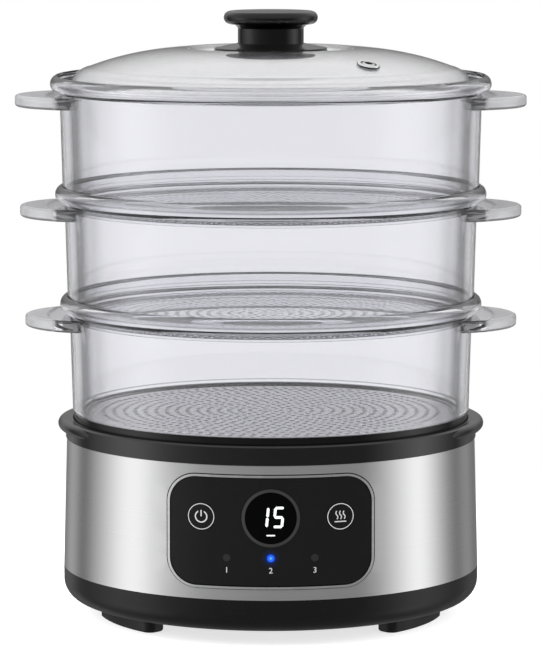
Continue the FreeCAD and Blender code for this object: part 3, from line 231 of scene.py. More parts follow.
# %% Milky handles
tree = clear.node_tree
shader = tree.nodes["Principled BSDF"]
across = add(tree, "ShaderNodeVectorMath", {"operation": "MULTIPLY"}, _0=place(tree),
             _1=(1, 1, 0))
from_middle = add(tree, "ShaderNodeVectorMath", {"operation": "LENGTH"}, _0=across.outputs[0])
outside = stretch(tree, from_middle.outputs["Value"], 0.0, 1.0, RIM_RADIUS,
                  RIM_RADIUS + HANDLE_ROOT)
tree.links.new(stretch(tree, outside, CLEARNESS, HANDLE_CLEARNESS, 0.0, 1.0),
               shader.inputs["Transmission Weight"])
# The handles' painted light and shade: their colour goes by where a face looks, up or down.
upwards = stretch(tree, facing_up(tree), 0.0, 1.0, -1.0, 1.0)
painted_wall_colour = shader.inputs["Base Color"].links[0].from_socket
painted_handle_colour = ramp(tree, upwards, lilac(PAINTED_HANDLE_SHADE))
tree.links.new(mix(tree, outside, painted_wall_colour, painted_handle_colour), shader.inputs["Base Color"])

# %% [markdown]
# ## Brushed steel
# The band is a steel sheet brushed round its circumference. Very fine streaks, stretched far
# round the band and only a fraction of a millimetre high, shift its gloss and its relief, and an
# anisotropic highlight spreads the reflections upwards, as brushing does.

# %% Brushed steel


def brushed(name, colour, along, roughness=(0.24, 0.34)):
    """Metal with streaks. along holds the pattern's scale on each axis."""
    material, tree, shader = start(name, Metallic=1.0, Anisotropic=0.6, Anisotropic_Rotation=0.25)
    fine = noise(tree, place(tree, along), 1.0, 6.0, 0.7)
    broad = noise(tree, place(tree, [value * 0.2 for value in along]), 1.0, 3.0)
    tree.links.new(ramp(tree, fine, [(0.25, [c * 0.97 for c in colour]), (0.75, colour)]),
                   shader.inputs["Base Color"])
    tree.links.new(stretch(tree, broad, *roughness), shader.inputs["Roughness"])
    bump(tree, shader, fine, 0.06, 0.000005)
    tangent = add(tree, "ShaderNodeTangent", {"direction_type": "RADIAL", "axis": "Z"})
    tree.links.new(tangent.outputs["Tangent"], shader.inputs["Tangent"])
    return material


steel = brushed("brushed_steel", (0.72, 0.72, 0.725), (5.0, 5.0, 5200.0), (0.27, 0.30))
plate_steel = brushed("plate_steel", (0.62, 0.62, 0.62), (900.0, 30.0, 30.0))

# %% [markdown]
# ## Black plastics
# The housing is moulded with a fine spark-eroded grain, so it is satin. The collar, the drip tray
# and the knob are smoother. The panel is as glossy as a screen, with a faint waviness that only
# its reflections show. The feet are matt rubber.

# %% Black plastics


def moulded(name, colour, roughness, grain, relief, specular=0.5, coat=0.0):
    """Moulded plastic: grain is the number of grains per metre, relief its depth in metres."""
    material, tree, shader = start(name, Specular_IOR_Level=specular, Coat_Weight=coat,
                                   Coat_Roughness=0.04)
    where = place(tree)
    cloud = noise(tree, where, 18.0, 4.0)
    tree.links.new(ramp(tree, cloud, [(0.3, [c * 0.86 for c in colour]), (0.7, colour)]),
                   shader.inputs["Base Color"])
    tree.links.new(stretch(tree, noise(tree, where, 45.0, 5.0), *roughness),
                   shader.inputs["Roughness"])
    bump(tree, shader, noise(tree, where, grain, 3.0, 0.6), 0.35, relief)
    return material


satin_black = moulded("satin_black", grey(0.004), (0.26, 0.36), 1500.0, 0.00005, 0.3)
collar_black = moulded("collar_black", grey(0.002), (0.15, 0.21), 1800.0, 0.00002, 0.6)
tray_black = moulded("tray_black", grey(0.002), (0.12, 0.17), 1800.0, 0.00002, 0.35)
knob_black = moulded("knob_black", grey(0.001), (0.10, 0.15), 2200.0, 0.00001, 0.4)
panel_black = moulded("panel_black", grey(0.006), (0.10, 0.17), 90.0, 0.00004, 0.3)
button_black = moulded("button_black", grey(0.006), (0.12, 0.20), 110.0, 0.00004, 0.3)
lens_black = moulded("lens_black", grey(0.001), (0.05, 0.09), 70.0, 0.00003, 0.08)
# Matt black rubber for the feet and the cord gland; the steam vent uses it also for painted shade.
rubber_black = moulded("rubber_black", grey(0.007), (0.42, 0.55), 1300.0, 0.00008, 0.35)
rubber_grey = moulded("rubber_grey", grey(0.19), (0.5, 0.62), 1300.0, 0.00006, 0.35)
washer_pale = moulded("washer_pale", (0.60, 0.60, 0.61), (0.45, 0.55), 900.0, 0.00005, 0.35)
tank_grey = moulded("tank_grey", grey(0.05), (0.22, 0.32), 1400.0, 0.00004)
component = moulded("component_black", grey(0.02), (0.35, 0.5), 1600.0, 0.00004)

# %% [markdown]
# ## Small metals
# The bezel round the panel and the steam vent are polished, the ring round the display is darker,
# the heater is a casting and the screws are zinc plated. They share one recipe: a metal whose
# tone and gloss wander a little, with more relief on the casting.

# %% Small metals


def metal(name, colour, roughness, scale=120.0, relief=0.00001):
    """Plain metal whose tone and gloss wander a little."""
    material, tree, shader = start(name, Metallic=1.0)
    where = place(tree)
    cloud = noise(tree, where, scale, 4.0)
    tree.links.new(ramp(tree, cloud, [(0.3, [c * 0.88 for c in colour]), (0.7, colour)]),
                   shader.inputs["Base Color"])
    tree.links.new(stretch(tree, noise(tree, where, scale * 2, 4.0), *roughness),
                   shader.inputs["Roughness"])
    bump(tree, shader, noise(tree, where, scale * 6, 3.0), 0.3, relief)
    return material


bright_trim = metal("bright_trim", (0.90, 0.90, 0.91), (0.18, 0.28))
chrome = metal("chrome", (0.84, 0.84, 0.85), (0.05, 0.10))
ring_metal = metal("ring_metal", (0.20, 0.20, 0.205), (0.12, 0.2))
casting = metal("casting", (0.60, 0.60, 0.61), (0.42, 0.6), 220.0, 0.00015)
zinc = metal("zinc", (0.62, 0.63, 0.65), (0.25, 0.4), 300.0)

# %% [markdown]
# ## Circuit boards
# Boards are green with copper tracks under the lacquer. The joints of a brick pattern make
# straight tracks.

# %% Circuit boards


def circuit_board(name):
    """Green lacquer over copper tracks."""
    material, tree, shader = start(name, Roughness=0.3, Coat_Weight=0.4, Coat_Roughness=0.1)
    tracks = add(tree, "ShaderNodeTexBrick", Vector=place(tree), Scale=60.0,
                 Color1=(0.02, 0.20, 0.08, 1), Color2=(0.015, 0.15, 0.06, 1),
                 Mortar=(0.06, 0.34, 0.14, 1), Mortar_Size=0.03)
    tree.links.new(tracks.outputs["Color"], shader.inputs["Base Color"])
    bump(tree, shader, tracks.outputs["Fac"], 0.2, 0.00003)
    return material


board_flat = circuit_board("board_flat")
board_upright = circuit_board("board_upright")

# %% [markdown]
# ## Lights, ink and digits
# The middle light is on: it is palest in its middle, and its blue light on the panel round it is
# a painted glow, emission in the panel's own material. The prints are matt white ink, and the
# digits glow evenly.

# %% Lights, ink and digits
LIGHT_HEIGHT = 56.5 * MM
LIGHT_REACH = 2.4 * MM
# Where the painted glow of the lit light on the panel starts and where it has faded out.
PAINTED_GLOW_START = 2.0 * MM
PAINTED_GLOW_REACH = 6.0 * MM


def from_the_light(tree):
    """How far a point of the panel is from the middle of the lit light, along the panel."""
    flat = add(tree, "ShaderNodeVectorMath", {"operation": "MULTIPLY"}, _0=place(tree),
               _1=(1, 0, 1))
    return add(tree, "ShaderNodeVectorMath", {"operation": "DISTANCE"}, _0=flat.outputs[0],
               _1=(0, 0, LIGHT_HEIGHT)).outputs["Value"]


def shine(tree, colour):
    """The colour that a surface gives off by itself, at full strength."""
    shader = tree.nodes["Principled BSDF"]
    tree.links.new(colour, shader.inputs["Emission Color"])
    shader.inputs["Emission Strength"].default_value = 1.0


light_on, tree, shader = start("light_on", Base_Color=(0.0, 0.02, 0.2, 1.0), Roughness=0.18)
outwards = stretch(tree, from_the_light(tree), 0.0, 1.0, 0.0, LIGHT_REACH)
shine(tree, ramp(tree, outwards, [(0.0, (0.30, 0.62, 1.0)), (0.35, (0.02, 0.20, 1.0)),
                                  (1.0, (0.0, 0.03, 0.75))]))
bump(tree, shader, noise(tree, place(tree), 900.0, 2.0), 0.1, 0.00001)
light_off = moulded("light_off", (0.016, 0.016, 0.018), (0.25, 0.35), 1200.0, 0.00002)

# Painted glow: the panel gives off blue near the lit light, standing for the light it throws there.
tree = panel_black.node_tree
outwards = stretch(tree, from_the_light(tree), 0.0, 1.0, PAINTED_GLOW_START, PAINTED_GLOW_REACH)
shine(tree, ramp(tree, outwards, [(0.0, (0.0, 0.020, 0.16)), (0.35, (0.0, 0.004, 0.03)),
                                  (1.0, (0.0, 0.0, 0.0))]))

ink = moulded("ink", grey(0.62), (0.4, 0.5), 2500.0, 0.00001, 0.3)
digit_light, tree, shader = start("digit_light", Base_Color=(0.3, 0.3, 0.3, 1.0), Roughness=0.3)
evenness = noise(tree, place(tree), 400.0, 2.0)
shine(tree, ramp(tree, evenness, [(0.3, (0.86, 0.9, 0.95)), (0.7, (0.95, 0.98, 1.0))]))
print("lit:", light_on.name, digit_light.name, "unlit:", light_off.name, "ink:", ink.name)

# %% [markdown]
# ## Which piece gets which finish
# One table pairs the finishes with the engineering pieces. Only the material changes here: the
# pieces keep their shape and place. Two indicator lights are off and one is lit.

# %% Dress the pieces
finishes = [
    (clear, ["tier_1_basket", "tier_2_basket", "tier_3_basket"]),
    (clear_lid, ["lid_dome"]),
    (clear_floor, ["tier_1_floor", "tier_2_floor", "tier_3_floor"]),
    (steel, ["steel_band"]),
    (satin_black, ["lower_housing", "bottom_cover"]),
    (collar_black, ["base_collar"]),
    (tray_black, ["drip_tray"]),
    (knob_black, ["lid_knob", "knob_flange"]),
    (panel_black, ["panel_fascia"]),
    (button_black, ["power_button", "steam_button"]),
    (lens_black, ["display_lens"]),
    (ring_metal, ["display_ring"]),
    (bright_trim, ["panel_bezel"]),
    (chrome, ["steam_vent"]),
    (washer_pale, ["knob_washer"]),
    (rubber_black, ["foot_front_left", "foot_front_right", "foot_back_left", "foot_back_right",
                    "cord_gland"]),
    (rubber_grey, ["reservoir_gasket", "heater_seal"]),
    (tank_grey, ["water_reservoir"]),
    (plate_steel, ["heater_plate"]),
    (casting, ["heater_element"]),
    (zinc, ["bottom_screws", "knob_screw", "board_screws", "power_board_screws", "thermostat",
            "thermal_fuse"]),
    (component, ["display_module", "power_switch", "steam_switch", "power_relay"]),
    (board_upright, ["control_board"]),
    (board_flat, ["power_board"]),
    (light_on, ["light_medium"]),
    (light_off, ["light_low", "light_high"]),
]
dressed = set()
for material, names in finishes:
    for name in names:
        for slot in nodes[name].material_slots:
            slot.material = material
        dressed.add(name)
print("dressed", len(dressed), "of", len(nodes), "- left:", sorted(set(nodes) - dressed))

# %% [markdown]
# ## Ways of modelling
# The fine pieces are drawn with the ordinary modelling operators. Each one is made in place, ends
# with its origin at the world's origin and no turn or scale, and rides on the body it belongs to.

# %% Helpers for pieces
UPRIGHT = (math.pi / 2, 0.0, 0.0)


def select_none():
    bpy.ops.object.select_all(action="DESELECT")


def settle(piece):
    """Write a piece's place, turn and scale into its mesh."""
    select_none()
    piece.select_set(True)
    bpy.context.view_layer.objects.active = piece
    bpy.ops.object.transform_apply(location=True, rotation=True, scale=True)
    return piece


def choose_faces(piece, wanted):
    """Select the faces for which wanted(face) is true, and go into edit mode."""
    bpy.ops.object.mode_set(mode="EDIT")
    bpy.ops.mesh.select_mode(type="FACE")
    bpy.ops.mesh.select_all(action="DESELECT")
    bpy.ops.object.mode_set(mode="OBJECT")
    for face in piece.data.polygons:
        face.select = wanted(face)
    bpy.ops.object.mode_set(mode="EDIT")


def apply_all(piece):
    """Write a piece's modifiers into its mesh."""
    select_none()
    piece.select_set(True)
    bpy.context.view_layer.objects.active = piece
    for modifier in list(piece.modifiers):
        bpy.ops.object.modifier_apply(modifier=modifier.name)


def finish_piece(piece, name, material, body):
    """Name a piece, give it its one material and let it ride on its body."""
    piece.name = name
    piece.data.name = name
    piece.data.materials.clear()
    piece.data.materials.append(material)
    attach(piece, body)
    return piece


# %% [markdown]
# ## Perforated floors
# Each basket has a loose floor with hundreds of small steam holes inside a raised rim. The holes
# lie in rings at one pitch: a pin is made on each ring and spun round with copies, and all the
# pins are then cut out of the disc at once.

# %% Perforated floors
FLOOR_SHEET = 2.0 * MM
FLOOR_RIM = 5.0 * MM
RIM_RISE = 0.5 * MM
HOLE_PITCH = 6.6 * MM
HOLE_RADIUS = 1.6 * MM


def floor_pins(radius, height):
    """One object with a pin for every hole of a floor."""
    bpy.ops.mesh.primitive_cylinder_add(vertices=10, radius=HOLE_RADIUS, depth=3 * FLOOR_SHEET,
                                        location=(0, 0, height))
    pins = settle(bpy.context.object)
    bpy.ops.object.mode_set(mode="EDIT")
    rings = int((radius - FLOOR_RIM - 2 * HOLE_RADIUS) / HOLE_PITCH)
    for ring in range(1, rings + 1):
        count = round(2 * math.pi * ring)
        bpy.ops.mesh.select_all(action="DESELECT")
        bpy.ops.mesh.primitive_cylinder_add(vertices=10, radius=HOLE_RADIUS,
                                            depth=3 * FLOOR_SHEET,
                                            location=(ring * HOLE_PITCH, 0, height))
        bpy.ops.mesh.spin(steps=count - 1, dupli=True, angle=2 * math.pi * (count - 1) / count,
                          center=(0, 0, 0), axis=(0, 0, 1))
    bpy.ops.object.mode_set(mode="OBJECT")
    return pins


def perforated_floor(tier):
    """A disc with a raised rim and rings of holes, in the place of the plain floor."""
    low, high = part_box("tier_%d_floor" % tier)
    radius = (high[0] - low[0]) / 2
    middle = (low[2] + high[2]) / 2
    select_none()
    bpy.ops.mesh.primitive_cylinder_add(vertices=160, radius=radius, depth=FLOOR_SHEET,
                                        location=(0, 0, middle))
    disc = settle(bpy.context.object)
    choose_faces(disc, lambda face: face.normal.z > 0.9)
    bpy.ops.mesh.inset(thickness=FLOOR_RIM * 0.6)
    bpy.ops.mesh.inset(thickness=RIM_RISE, depth=-RIM_RISE)
    bpy.ops.object.mode_set(mode="OBJECT")
    select_none()
    pins = floor_pins(radius, middle)
    cut = disc.modifiers.new("holes", "BOOLEAN")
    cut.operation = "DIFFERENCE"
    cut.solver = "MANIFOLD"
    cut.object = pins
    apply_all(disc)
    bpy.data.objects.remove(pins)
    finish_piece(disc, "tier_%d_perforated_floor" % tier, clear_floor, "tier_%d" % tier)
    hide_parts("tier_%d_floor" % tier)
    return disc


floors = [perforated_floor(tier) for tier in (1, 2, 3)]
for floor in floors:
    print(floor.name, len(floor.data.polygons), "faces")

# %% [markdown]
# ## Signs on the panel
# The signs are thin prints on the fascia and on the two buttons. They are drawn flat in front of
# the panel from rings, bars and numbers, pressed onto the curved faces along Y and given the
# thickness of a layer of ink. The words of a maker are left out: plain numbers mark the lights.

# %% Flat shapes
PANEL_FRONT = -160.0 * MM
INK_LIFT = 0.02 * MM
INK = 0.06 * MM


def flat_arc(x, z, middle, width, keep=None):
    """A flat ring round (x, z). keep holds the part that stays, in degrees from +X upwards."""
    select_none()
    bpy.ops.mesh.primitive_circle_add(vertices=72, radius=(middle + width / 2), fill_type="NGON",
                                      location=(x, PANEL_FRONT, z), rotation=UPRIGHT)
    ring = settle(bpy.context.object)
    choose_faces(ring, lambda face: True)
    bpy.ops.mesh.inset(thickness=width)
    bpy.ops.mesh.delete(type="ONLY_FACE")
    if keep:
        low, high = keep

        def outside(face):
            angle = math.degrees(math.atan2(face.center.z - z, face.center.x - x))
            return (angle - low) % 360 > high - low

        bpy.ops.object.mode_set(mode="OBJECT")
        choose_faces(ring, outside)
        bpy.ops.mesh.delete(type="FACE")
    bpy.ops.mesh.select_all(action="SELECT")
    bpy.ops.mesh.delete_loose()
    bpy.ops.object.mode_set(mode="OBJECT")
    return ring


def flat_bar(x, z, width, height, tip, turn=0.0, segments=1):
    """A flat bar round (x, z), its corners cut by tip, turned clockwise by turn."""
    select_none()
    bpy.ops.mesh.primitive_plane_add(size=1.0, location=(0, 0, 0))
    bar = bpy.context.object
    bar.scale = (width, height, 1.0)
    settle(bar)
    bpy.ops.object.mode_set(mode="EDIT")
    bpy.ops.mesh.select_all(action="SELECT")
    bpy.ops.mesh.bevel(offset=tip, segments=segments, affect="VERTICES")
    bpy.ops.object.mode_set(mode="OBJECT")
    bar.location = (x, PANEL_FRONT, z)
    bar.rotation_euler = (math.pi / 2, turn, 0.0)
    return settle(bar)


def flat_number(text, x, z, height):
    """A plain number in the built-in type, as a mesh."""
    select_none()
    bpy.ops.object.text_add(location=(x, PANEL_FRONT, z), rotation=UPRIGHT)
    number = bpy.context.object
    number.data.body = text
    number.data.size = height
    number.data.align_x = "CENTER"
    number.data.align_y = "CENTER"
    number.data.resolution_u = 6
    bpy.ops.object.convert(target="MESH")
    return settle(bpy.context.object)


def print_on(shapes, name, onto, body, material):
    """Join flat shapes, press them onto a piece of the panel and give them thickness."""
    select_none()
    for shape in shapes:
        shape.select_set(True)
    sign = shapes[0]
    bpy.context.view_layer.objects.active = sign
    if len(shapes) > 1:
        bpy.ops.object.join()
    press = sign.modifiers.new("press", "SHRINKWRAP")
    press.target = nodes[onto]
    press.wrap_method = "PROJECT"
    press.use_project_y = True
    press.use_positive_direction = True
    press.use_negative_direction = False
    press.offset = INK_LIFT
    layer = sign.modifiers.new("layer", "SOLIDIFY")
    layer.thickness = INK
    layer.offset = 1.0
    apply_all(sign)
    return finish_piece(sign, name, material, body)


# %% Button signs
BUTTON_X = 42.0 * MM
ROW_Z = 80.9 * MM
HAIR = 0.45 * MM
STROKE = 0.75 * MM

power_sign = print_on(
    [flat_arc(-BUTTON_X, ROW_Z, 7.72 * MM, HAIR),
     flat_arc(-BUTTON_X, ROW_Z, 3.45 * MM, STROKE, (122, 418)),
     flat_bar(-BUTTON_X, ROW_Z + 2.0 * MM, STROKE, 4.0 * MM, 0.36 * MM, segments=4)],
    "power_sign", "power_button", "power_button", ink)


def steam_wave(x):
    """Two arcs that bulge to opposite sides and meet in the middle."""
    z = ROW_Z + 0.9 * MM
    side, rise = 1.03 * MM, 1.22 * MM
    return [flat_arc(x + side, z + rise, 1.6 * MM, 0.6 * MM, (130, 230)),
            flat_arc(x - side, z - rise, 1.6 * MM, 0.6 * MM, (-50, 50))]


waves = [arc for step in (-1, 0, 1) for arc in steam_wave(BUTTON_X + step * 2.2 * MM)]
steam_sign = print_on(
    [flat_arc(BUTTON_X, ROW_Z, 7.72 * MM, HAIR),
     flat_bar(BUTTON_X, ROW_Z - 3.1 * MM, 7.2 * MM, 0.65 * MM, 0.3 * MM, segments=4)] + waves,
    "steam_sign", "steam_button", "steam_button", ink)

# %% Numbers under the lights
LIGHT_STEP = 26.6 * MM
NUMBER_Z = 48.9 * MM
NUMBER_HEIGHT = 4.9 * MM

light_signs = [print_on([flat_number(text, step * LIGHT_STEP, NUMBER_Z, NUMBER_HEIGHT)],
                        "light_number_" + text, "panel_fascia", "base", ink)
               for text, step in (("1", -1), ("2", 0), ("3", 1))]

# %% [markdown]
# ## The lit time
# The display shows a plain number in leaning seven-segment digits, with a small bar under it.

# %% Digits
DIGIT_Z = 81.4 * MM
DIGIT_HEIGHT = 13.0 * MM
DIGIT_WIDTH = 6.5 * MM
SEGMENT = 1.6 * MM
SEGMENT_GAP = 0.25 * MM
LEAN = math.radians(5.5)
# The middles of the two digits, and how far out an upright segment stands, as a share of the reach.
ONE_X = -2.0 * MM
FIVE_X = 4.75 * MM
UPRIGHT_PLACE = 0.52
TIME_BAR_Z = 70.4 * MM


def segment(x, across, up, upright):
    """A bar of a digit. across and up are its place from the digit's middle."""
    length = (DIGIT_HEIGHT / 2 if upright else DIGIT_WIDTH) - SEGMENT * (1 if upright else 0.6)
    length -= SEGMENT_GAP
    leaning = x + across + up * math.tan(LEAN)
    if upright:
        return flat_bar(leaning, DIGIT_Z + up, SEGMENT, length + SEGMENT * 0.7, SEGMENT * 0.42,
                        LEAN)
    return flat_bar(leaning, DIGIT_Z + up, length, SEGMENT, SEGMENT * 0.42)


reach_up = DIGIT_HEIGHT / 2 - SEGMENT / 2
reach_side = DIGIT_WIDTH / 2 - SEGMENT / 2
one = [segment(ONE_X, 0, side * reach_up * UPRIGHT_PLACE, True) for side in (1, -1)]
five = [segment(FIVE_X, 0, up * reach_up, False) for up in (1, 0, -1)]
five += [segment(FIVE_X, -side * reach_side, side * reach_up * UPRIGHT_PLACE, True)
         for side in (1, -1)]
digits = print_on(one + five, "display_digits", "display_lens", "base", digit_light)
time_bar = print_on([flat_bar(0, TIME_BAR_Z, 5.2 * MM, 0.8 * MM, 0.38 * MM, segments=4)],
                    "display_bar", "display_lens", "base", digit_light)
print("signs:", [sign.name for sign in [power_sign, steam_sign, digits, time_bar] + light_signs])

# %% [markdown]
# ## Steam vent
# The eyelet in the dome is turned from a profile: a rolled outer edge, a groove, a smaller roll
# round the bore, and a curl inside the dome. Some of its faces are black: painted shade in its
# bore and low down under its edge, and a painted dark reflection on the bed of its groove.

# %% Steam vent
VENT_BASE = (58.99 * MM, -80.01 * MM, 349.72 * MM)
VENT_TILT = math.radians(15.86)
VENT_TURN = math.radians(36.4)
VENT_PROFILE = [(2.1, -3.6), (4.8, -3.6), (5.4, -3.3), (5.5, -2.9), (5.3, -2.55), (4.4, -2.5),
                (4.4, 0.1), (7.0, 0.1), (7.2, 0.5), (7.15, 1.0), (6.8, 1.6), (6.3, 1.95),
                (5.8, 2.0), (5.3, 1.85), (4.95, 1.45), (4.6, 1.15), (4.2, 1.15), (3.85, 1.4),
                (3.5, 1.75), (3.1, 1.9), (2.7, 1.7), (2.3, 1.2), (2.1, 0.6), (2.1, -3.6)]
VENT_SMOOTH = math.radians(50)
# Where the eyelet is painted black: shade in the bore, a dark reflection on the groove's bed, and
# shade low down outside.
SHADED_BORE = 2.75 * MM
GROOVE = (3.6 * MM, 5.2 * MM)
GROOVE_BED = (1.0 * MM, 1.5 * MM)
DARK_SKIRT = 6.75 * MM
DARK_SKIRT_TOP = 0.8 * MM


def turned(profile, vertices):
    """A turned piece round Z: a circle drawn along (radius, height) points in millimetres."""
    radius, height = profile[0]
    select_none()
    bpy.ops.mesh.primitive_circle_add(vertices=vertices, radius=radius * MM,
                                      location=(0, 0, height * MM))
    piece = settle(bpy.context.object)
    bpy.ops.object.mode_set(mode="EDIT")
    bpy.ops.mesh.select_all(action="SELECT")
    for next_radius, next_height in profile[1:]:
        bpy.ops.mesh.extrude_edges_move(
            TRANSFORM_OT_translate={"value": (0, 0, (next_height - height) * MM)})
        grow = next_radius / radius
        bpy.ops.transform.resize(value=(grow, grow, 1.0), center_override=(0, 0, 0))
        radius, height = next_radius, next_height
    bpy.ops.mesh.select_all(action="SELECT")
    bpy.ops.mesh.remove_doubles(threshold=0.01 * MM)
    bpy.ops.mesh.normals_make_consistent(inside=False)
    bpy.ops.object.mode_set(mode="OBJECT")
    bpy.ops.object.shade_smooth_by_angle(angle=VENT_SMOOTH)
    return piece


vent = turned(VENT_PROFILE, 72)
vent.name = "steam_eyelet"
vent.data.materials.append(chrome)
vent.data.materials.append(rubber_black)
# Black faces paint shade in the bore and under the roll, and a dark reflection in the groove.
for face in vent.data.polygons:
    radius = math.hypot(face.center.x, face.center.y)
    height = face.center.z
    in_groove = GROOVE[0] < radius < GROOVE[1] and GROOVE_BED[0] < height < GROOVE_BED[1]
    if radius < SHADED_BORE or in_groove or (radius > DARK_SKIRT and height < DARK_SKIRT_TOP):
        face.material_index = 1
vent.location = VENT_BASE
vent.rotation_euler = (VENT_TILT, 0.0, VENT_TURN)
settle(vent)
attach(vent, "lid")
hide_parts("steam_vent")
print(vent.name, len(vent.data.polygons), "faces")

# %% [markdown]
# ## A studio all round
# Brushed steel and gloss plastic show what stands around them, so the world is built like a
# studio tent: a dim card in front, a tall soft box at each side, and dark flags beyond the boxes.
# It is a ramp round the compass that goes over into a bright ceiling. Between the flags hangs a
# white backdrop. The camera sees it, and so do the rays that pass through the clear plastic and
# the reflections that look straight back.

# %% World
LOOK_DOWN = math.radians(7.1)
CEILING = (0.90, 0.90, 0.90, 1)
GROUND = (0.3, 0.3, 0.3, 1)
WHITE = (1, 1, 1, 1)
# Where each part of the tent begins and is whole, on the unit sphere of directions.
CEILING_FROM = (0.04, 0.50)
GROUND_FROM = (-0.75, -0.45)
BEHIND_FROM = (0.55, 0.85)
BACKDROP_FROM = (0.987, 0.993)

scene = bpy.context.scene
world = bpy.data.worlds.new("studio")
scene.world = world
world.use_nodes = True
sky = world.node_tree
sky.nodes.clear()

direction = add(sky, "ShaderNodeTexCoord").outputs["Generated"]
parts = add(sky, "ShaderNodeSeparateXYZ", Vector=direction)
towards_front = arithmetic(sky, "MULTIPLY", parts.outputs["Y"], -1.0)
compass = arithmetic(sky, "ARCTAN2", parts.outputs["X"], towards_front)
turns = stretch(sky, compass, 0.0, 1.0, -math.pi, math.pi)
# Brightness by degrees from the front, left side negative: dim card, soft box, strip, wall.
tent = [(-180, 0.20), (-160, 0.20), (-149, 0.46), (-140, 0.42), (-130, 0.10), (-123, 0.20),
        (-116, 0.42), (-108, 0.62), (-100, 0.90), (-91, 1.25), (-82, 1.40), (-73, 1.20),
        (-65, 0.88), (-56, 0.61), (-36, 0.345), (0, 0.24), (54, 0.235), (63, 0.48), (71, 0.76),
        (80, 1.10), (90, 1.45), (100, 1.05), (109, 0.60), (117, 0.32), (127, 0.12), (134, 0.30),
        (144, 0.34), (153, 0.18), (180, 0.20)]
walls = ramp(sky, turns, [(angle / 360 + 0.5, grey(level)) for angle, level in tent])
overhead = stretch(sky, parts.outputs["Z"], 0.0, 1.0, *CEILING_FROM)
below = stretch(sky, parts.outputs["Z"], 1.0, 0.0, *GROUND_FROM)
tent_light = mix(sky, below, mix(sky, overhead, walls, CEILING), GROUND)
tent_side = add(sky, "ShaderNodeBackground", Color=tent_light, Strength=1.0)
plain_white = add(sky, "ShaderNodeBackground", Color=WHITE, Strength=1.0)
kind = add(sky, "ShaderNodeLightPath")
behind = stretch(sky, parts.outputs["Y"], 0.0, 1.0, *BEHIND_FROM)
through = arithmetic(sky, "MULTIPLY", behind, kind.outputs["Is Transmission Ray"])
# The backdrop fills the camera's view and a little more: mirrors see it there, too.
in_line = add(sky, "ShaderNodeVectorMath", {"operation": "DOT_PRODUCT"}, _0=direction,
              _1=(0.0, math.cos(LOOK_DOWN), -math.sin(LOOK_DOWN)))
backdrop = stretch(sky, in_line.outputs["Value"], 0.0, 1.0, *BACKDROP_FROM)
mirrored = arithmetic(sky, "MULTIPLY", backdrop, kind.outputs["Is Glossy Ray"])
sees_white = arithmetic(sky, "MAXIMUM", arithmetic(sky, "MAXIMUM", through, mirrored),
                   kind.outputs["Is Camera Ray"])
everything = add(sky, "ShaderNodeMixShader", _0=sees_white, _1=tent_side.outputs[0],
                 _2=plain_white.outputs[0])
add(sky, "ShaderNodeOutputWorld", Surface=everything.outputs[0])
print("world nodes:", len(sky.nodes))

# %% [markdown]
# ## Soft lamps
# Three large soft lamps add a little shape on the matt surfaces: one from the left and above, a
# weaker one from the right, and one overhead that lays the shadow under the base.

# %% Lamps


def soft_lamp(name, location, size, power):
    """A square lamp that looks at the middle of the steamer."""
    bpy.ops.object.light_add(type="AREA", location=location)
    lamp = bpy.context.object
    lamp.name = name
    lamp.data.size = size
    lamp.data.energy = power
    lamp.visible_glossy = False
    lamp.visible_transmission = False
    middle = Vector((0, 0, cad_box[1][2] / 2))
    lamp.rotation_euler = (middle - lamp.location).to_track_quat("-Z", "Y").to_euler()
    return lamp


lamps = [soft_lamp("lamp_left", (-1.5, -1.3, 1.3), 1.3, 22.0),
         soft_lamp("lamp_right", (1.6, -1.1, 1.0), 1.3, 13.0),
         soft_lamp("lamp_top", (0.0, 0.2, 2.0), 1.6, 9.0)]
print("lamps:", [lamp.name for lamp in lamps])

# %% [markdown]
# ## The table
# The steamer stands on a white sweep. The camera sees it as white that glows by itself, plus the
# light that really falls on it, so the soft shadow under the base stays and the far edge melts
# into the white behind. Reflections look past it to the tent.

# %% Table
TABLE_RADIUS = 6.0
BELOW_FEET = 0.2 * MM
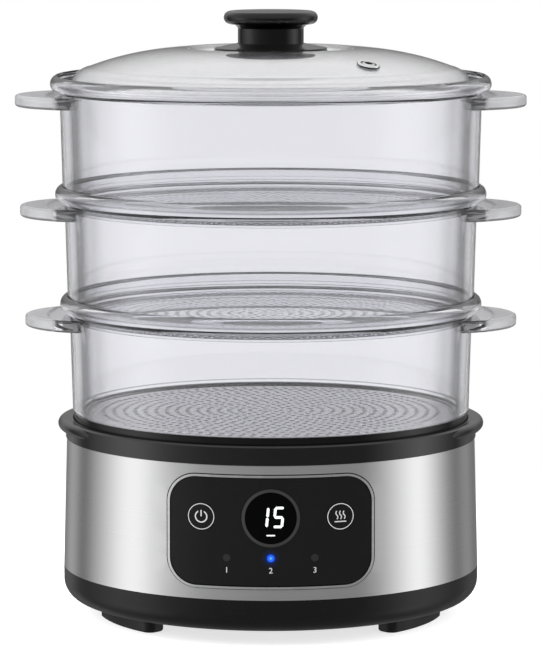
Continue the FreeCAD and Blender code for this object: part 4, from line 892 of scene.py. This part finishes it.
# The shadow is whole up to the first distance from the middle, and gone at the second.
SHADOW_REACH = (0.18, 0.55)
OWN_GLOW = 0.72

select_none()
bpy.ops.mesh.primitive_circle_add(vertices=96, radius=TABLE_RADIUS, fill_type="NGON",
                                  location=(0, 0, -BELOW_FEET))
table = bpy.context.object
table.name = "table"
table_white, tree, shader = start("table_white", Base_Color=(0.86, 0.86, 0.865, 1), Roughness=0.9,
                                  Specular_IOR_Level=0.0)
reach = add(tree, "ShaderNodeVectorMath", {"operation": "LENGTH"}, _0=place(tree))
far = stretch(tree, reach.outputs["Value"], 0.0, 1.0, *SHADOW_REACH)
by_itself = add(tree, "ShaderNodeEmission", Color=WHITE, Strength=1.0)
own_glow = add(tree, "ShaderNodeEmission", Color=WHITE, Strength=OWN_GLOW)
lit = add(tree, "ShaderNodeAddShader", _0=shader.outputs[0], _1=own_glow.outputs[0])
faded = add(tree, "ShaderNodeMixShader", _0=far, _1=lit.outputs[0], _2=by_itself.outputs[0])
seen = add(tree, "ShaderNodeLightPath")
direct = arithmetic(tree, "MAXIMUM", seen.outputs["Is Camera Ray"],
               seen.outputs["Is Transmission Ray"])
both = add(tree, "ShaderNodeMixShader", _0=direct, _1=shader.outputs[0], _2=faded.outputs[0])
tree.links.new(both.outputs[0], tree.nodes["Material Output"].inputs["Surface"])
table.data.materials.append(table_white)
table.visible_glossy = False
print("table radius:", TABLE_RADIUS)

# %% [markdown]
# ## Camera
# A long lens from about two and a half metres keeps the upright lines upright. It looks down a
# little, so that the rims show as narrow ellipses.

# %% Camera
CAMERA_PLACE = (0.00013, -2.441, 0.4858)
IMAGE_WIDTH = 542
LENS_PIXELS = 3900
SENSOR = 36.0

bpy.ops.object.camera_add(location=CAMERA_PLACE, rotation=(math.pi / 2 - LOOK_DOWN, 0, 0))
camera = bpy.context.object
camera.data.sensor_fit = "HORIZONTAL"
camera.data.sensor_width = SENSOR
camera.data.lens = LENS_PIXELS / IMAGE_WIDTH * SENSOR
scene.camera = camera
scene.view_settings.view_transform = "Standard"
print("lens:", round(camera.data.lens, 1), "mm")
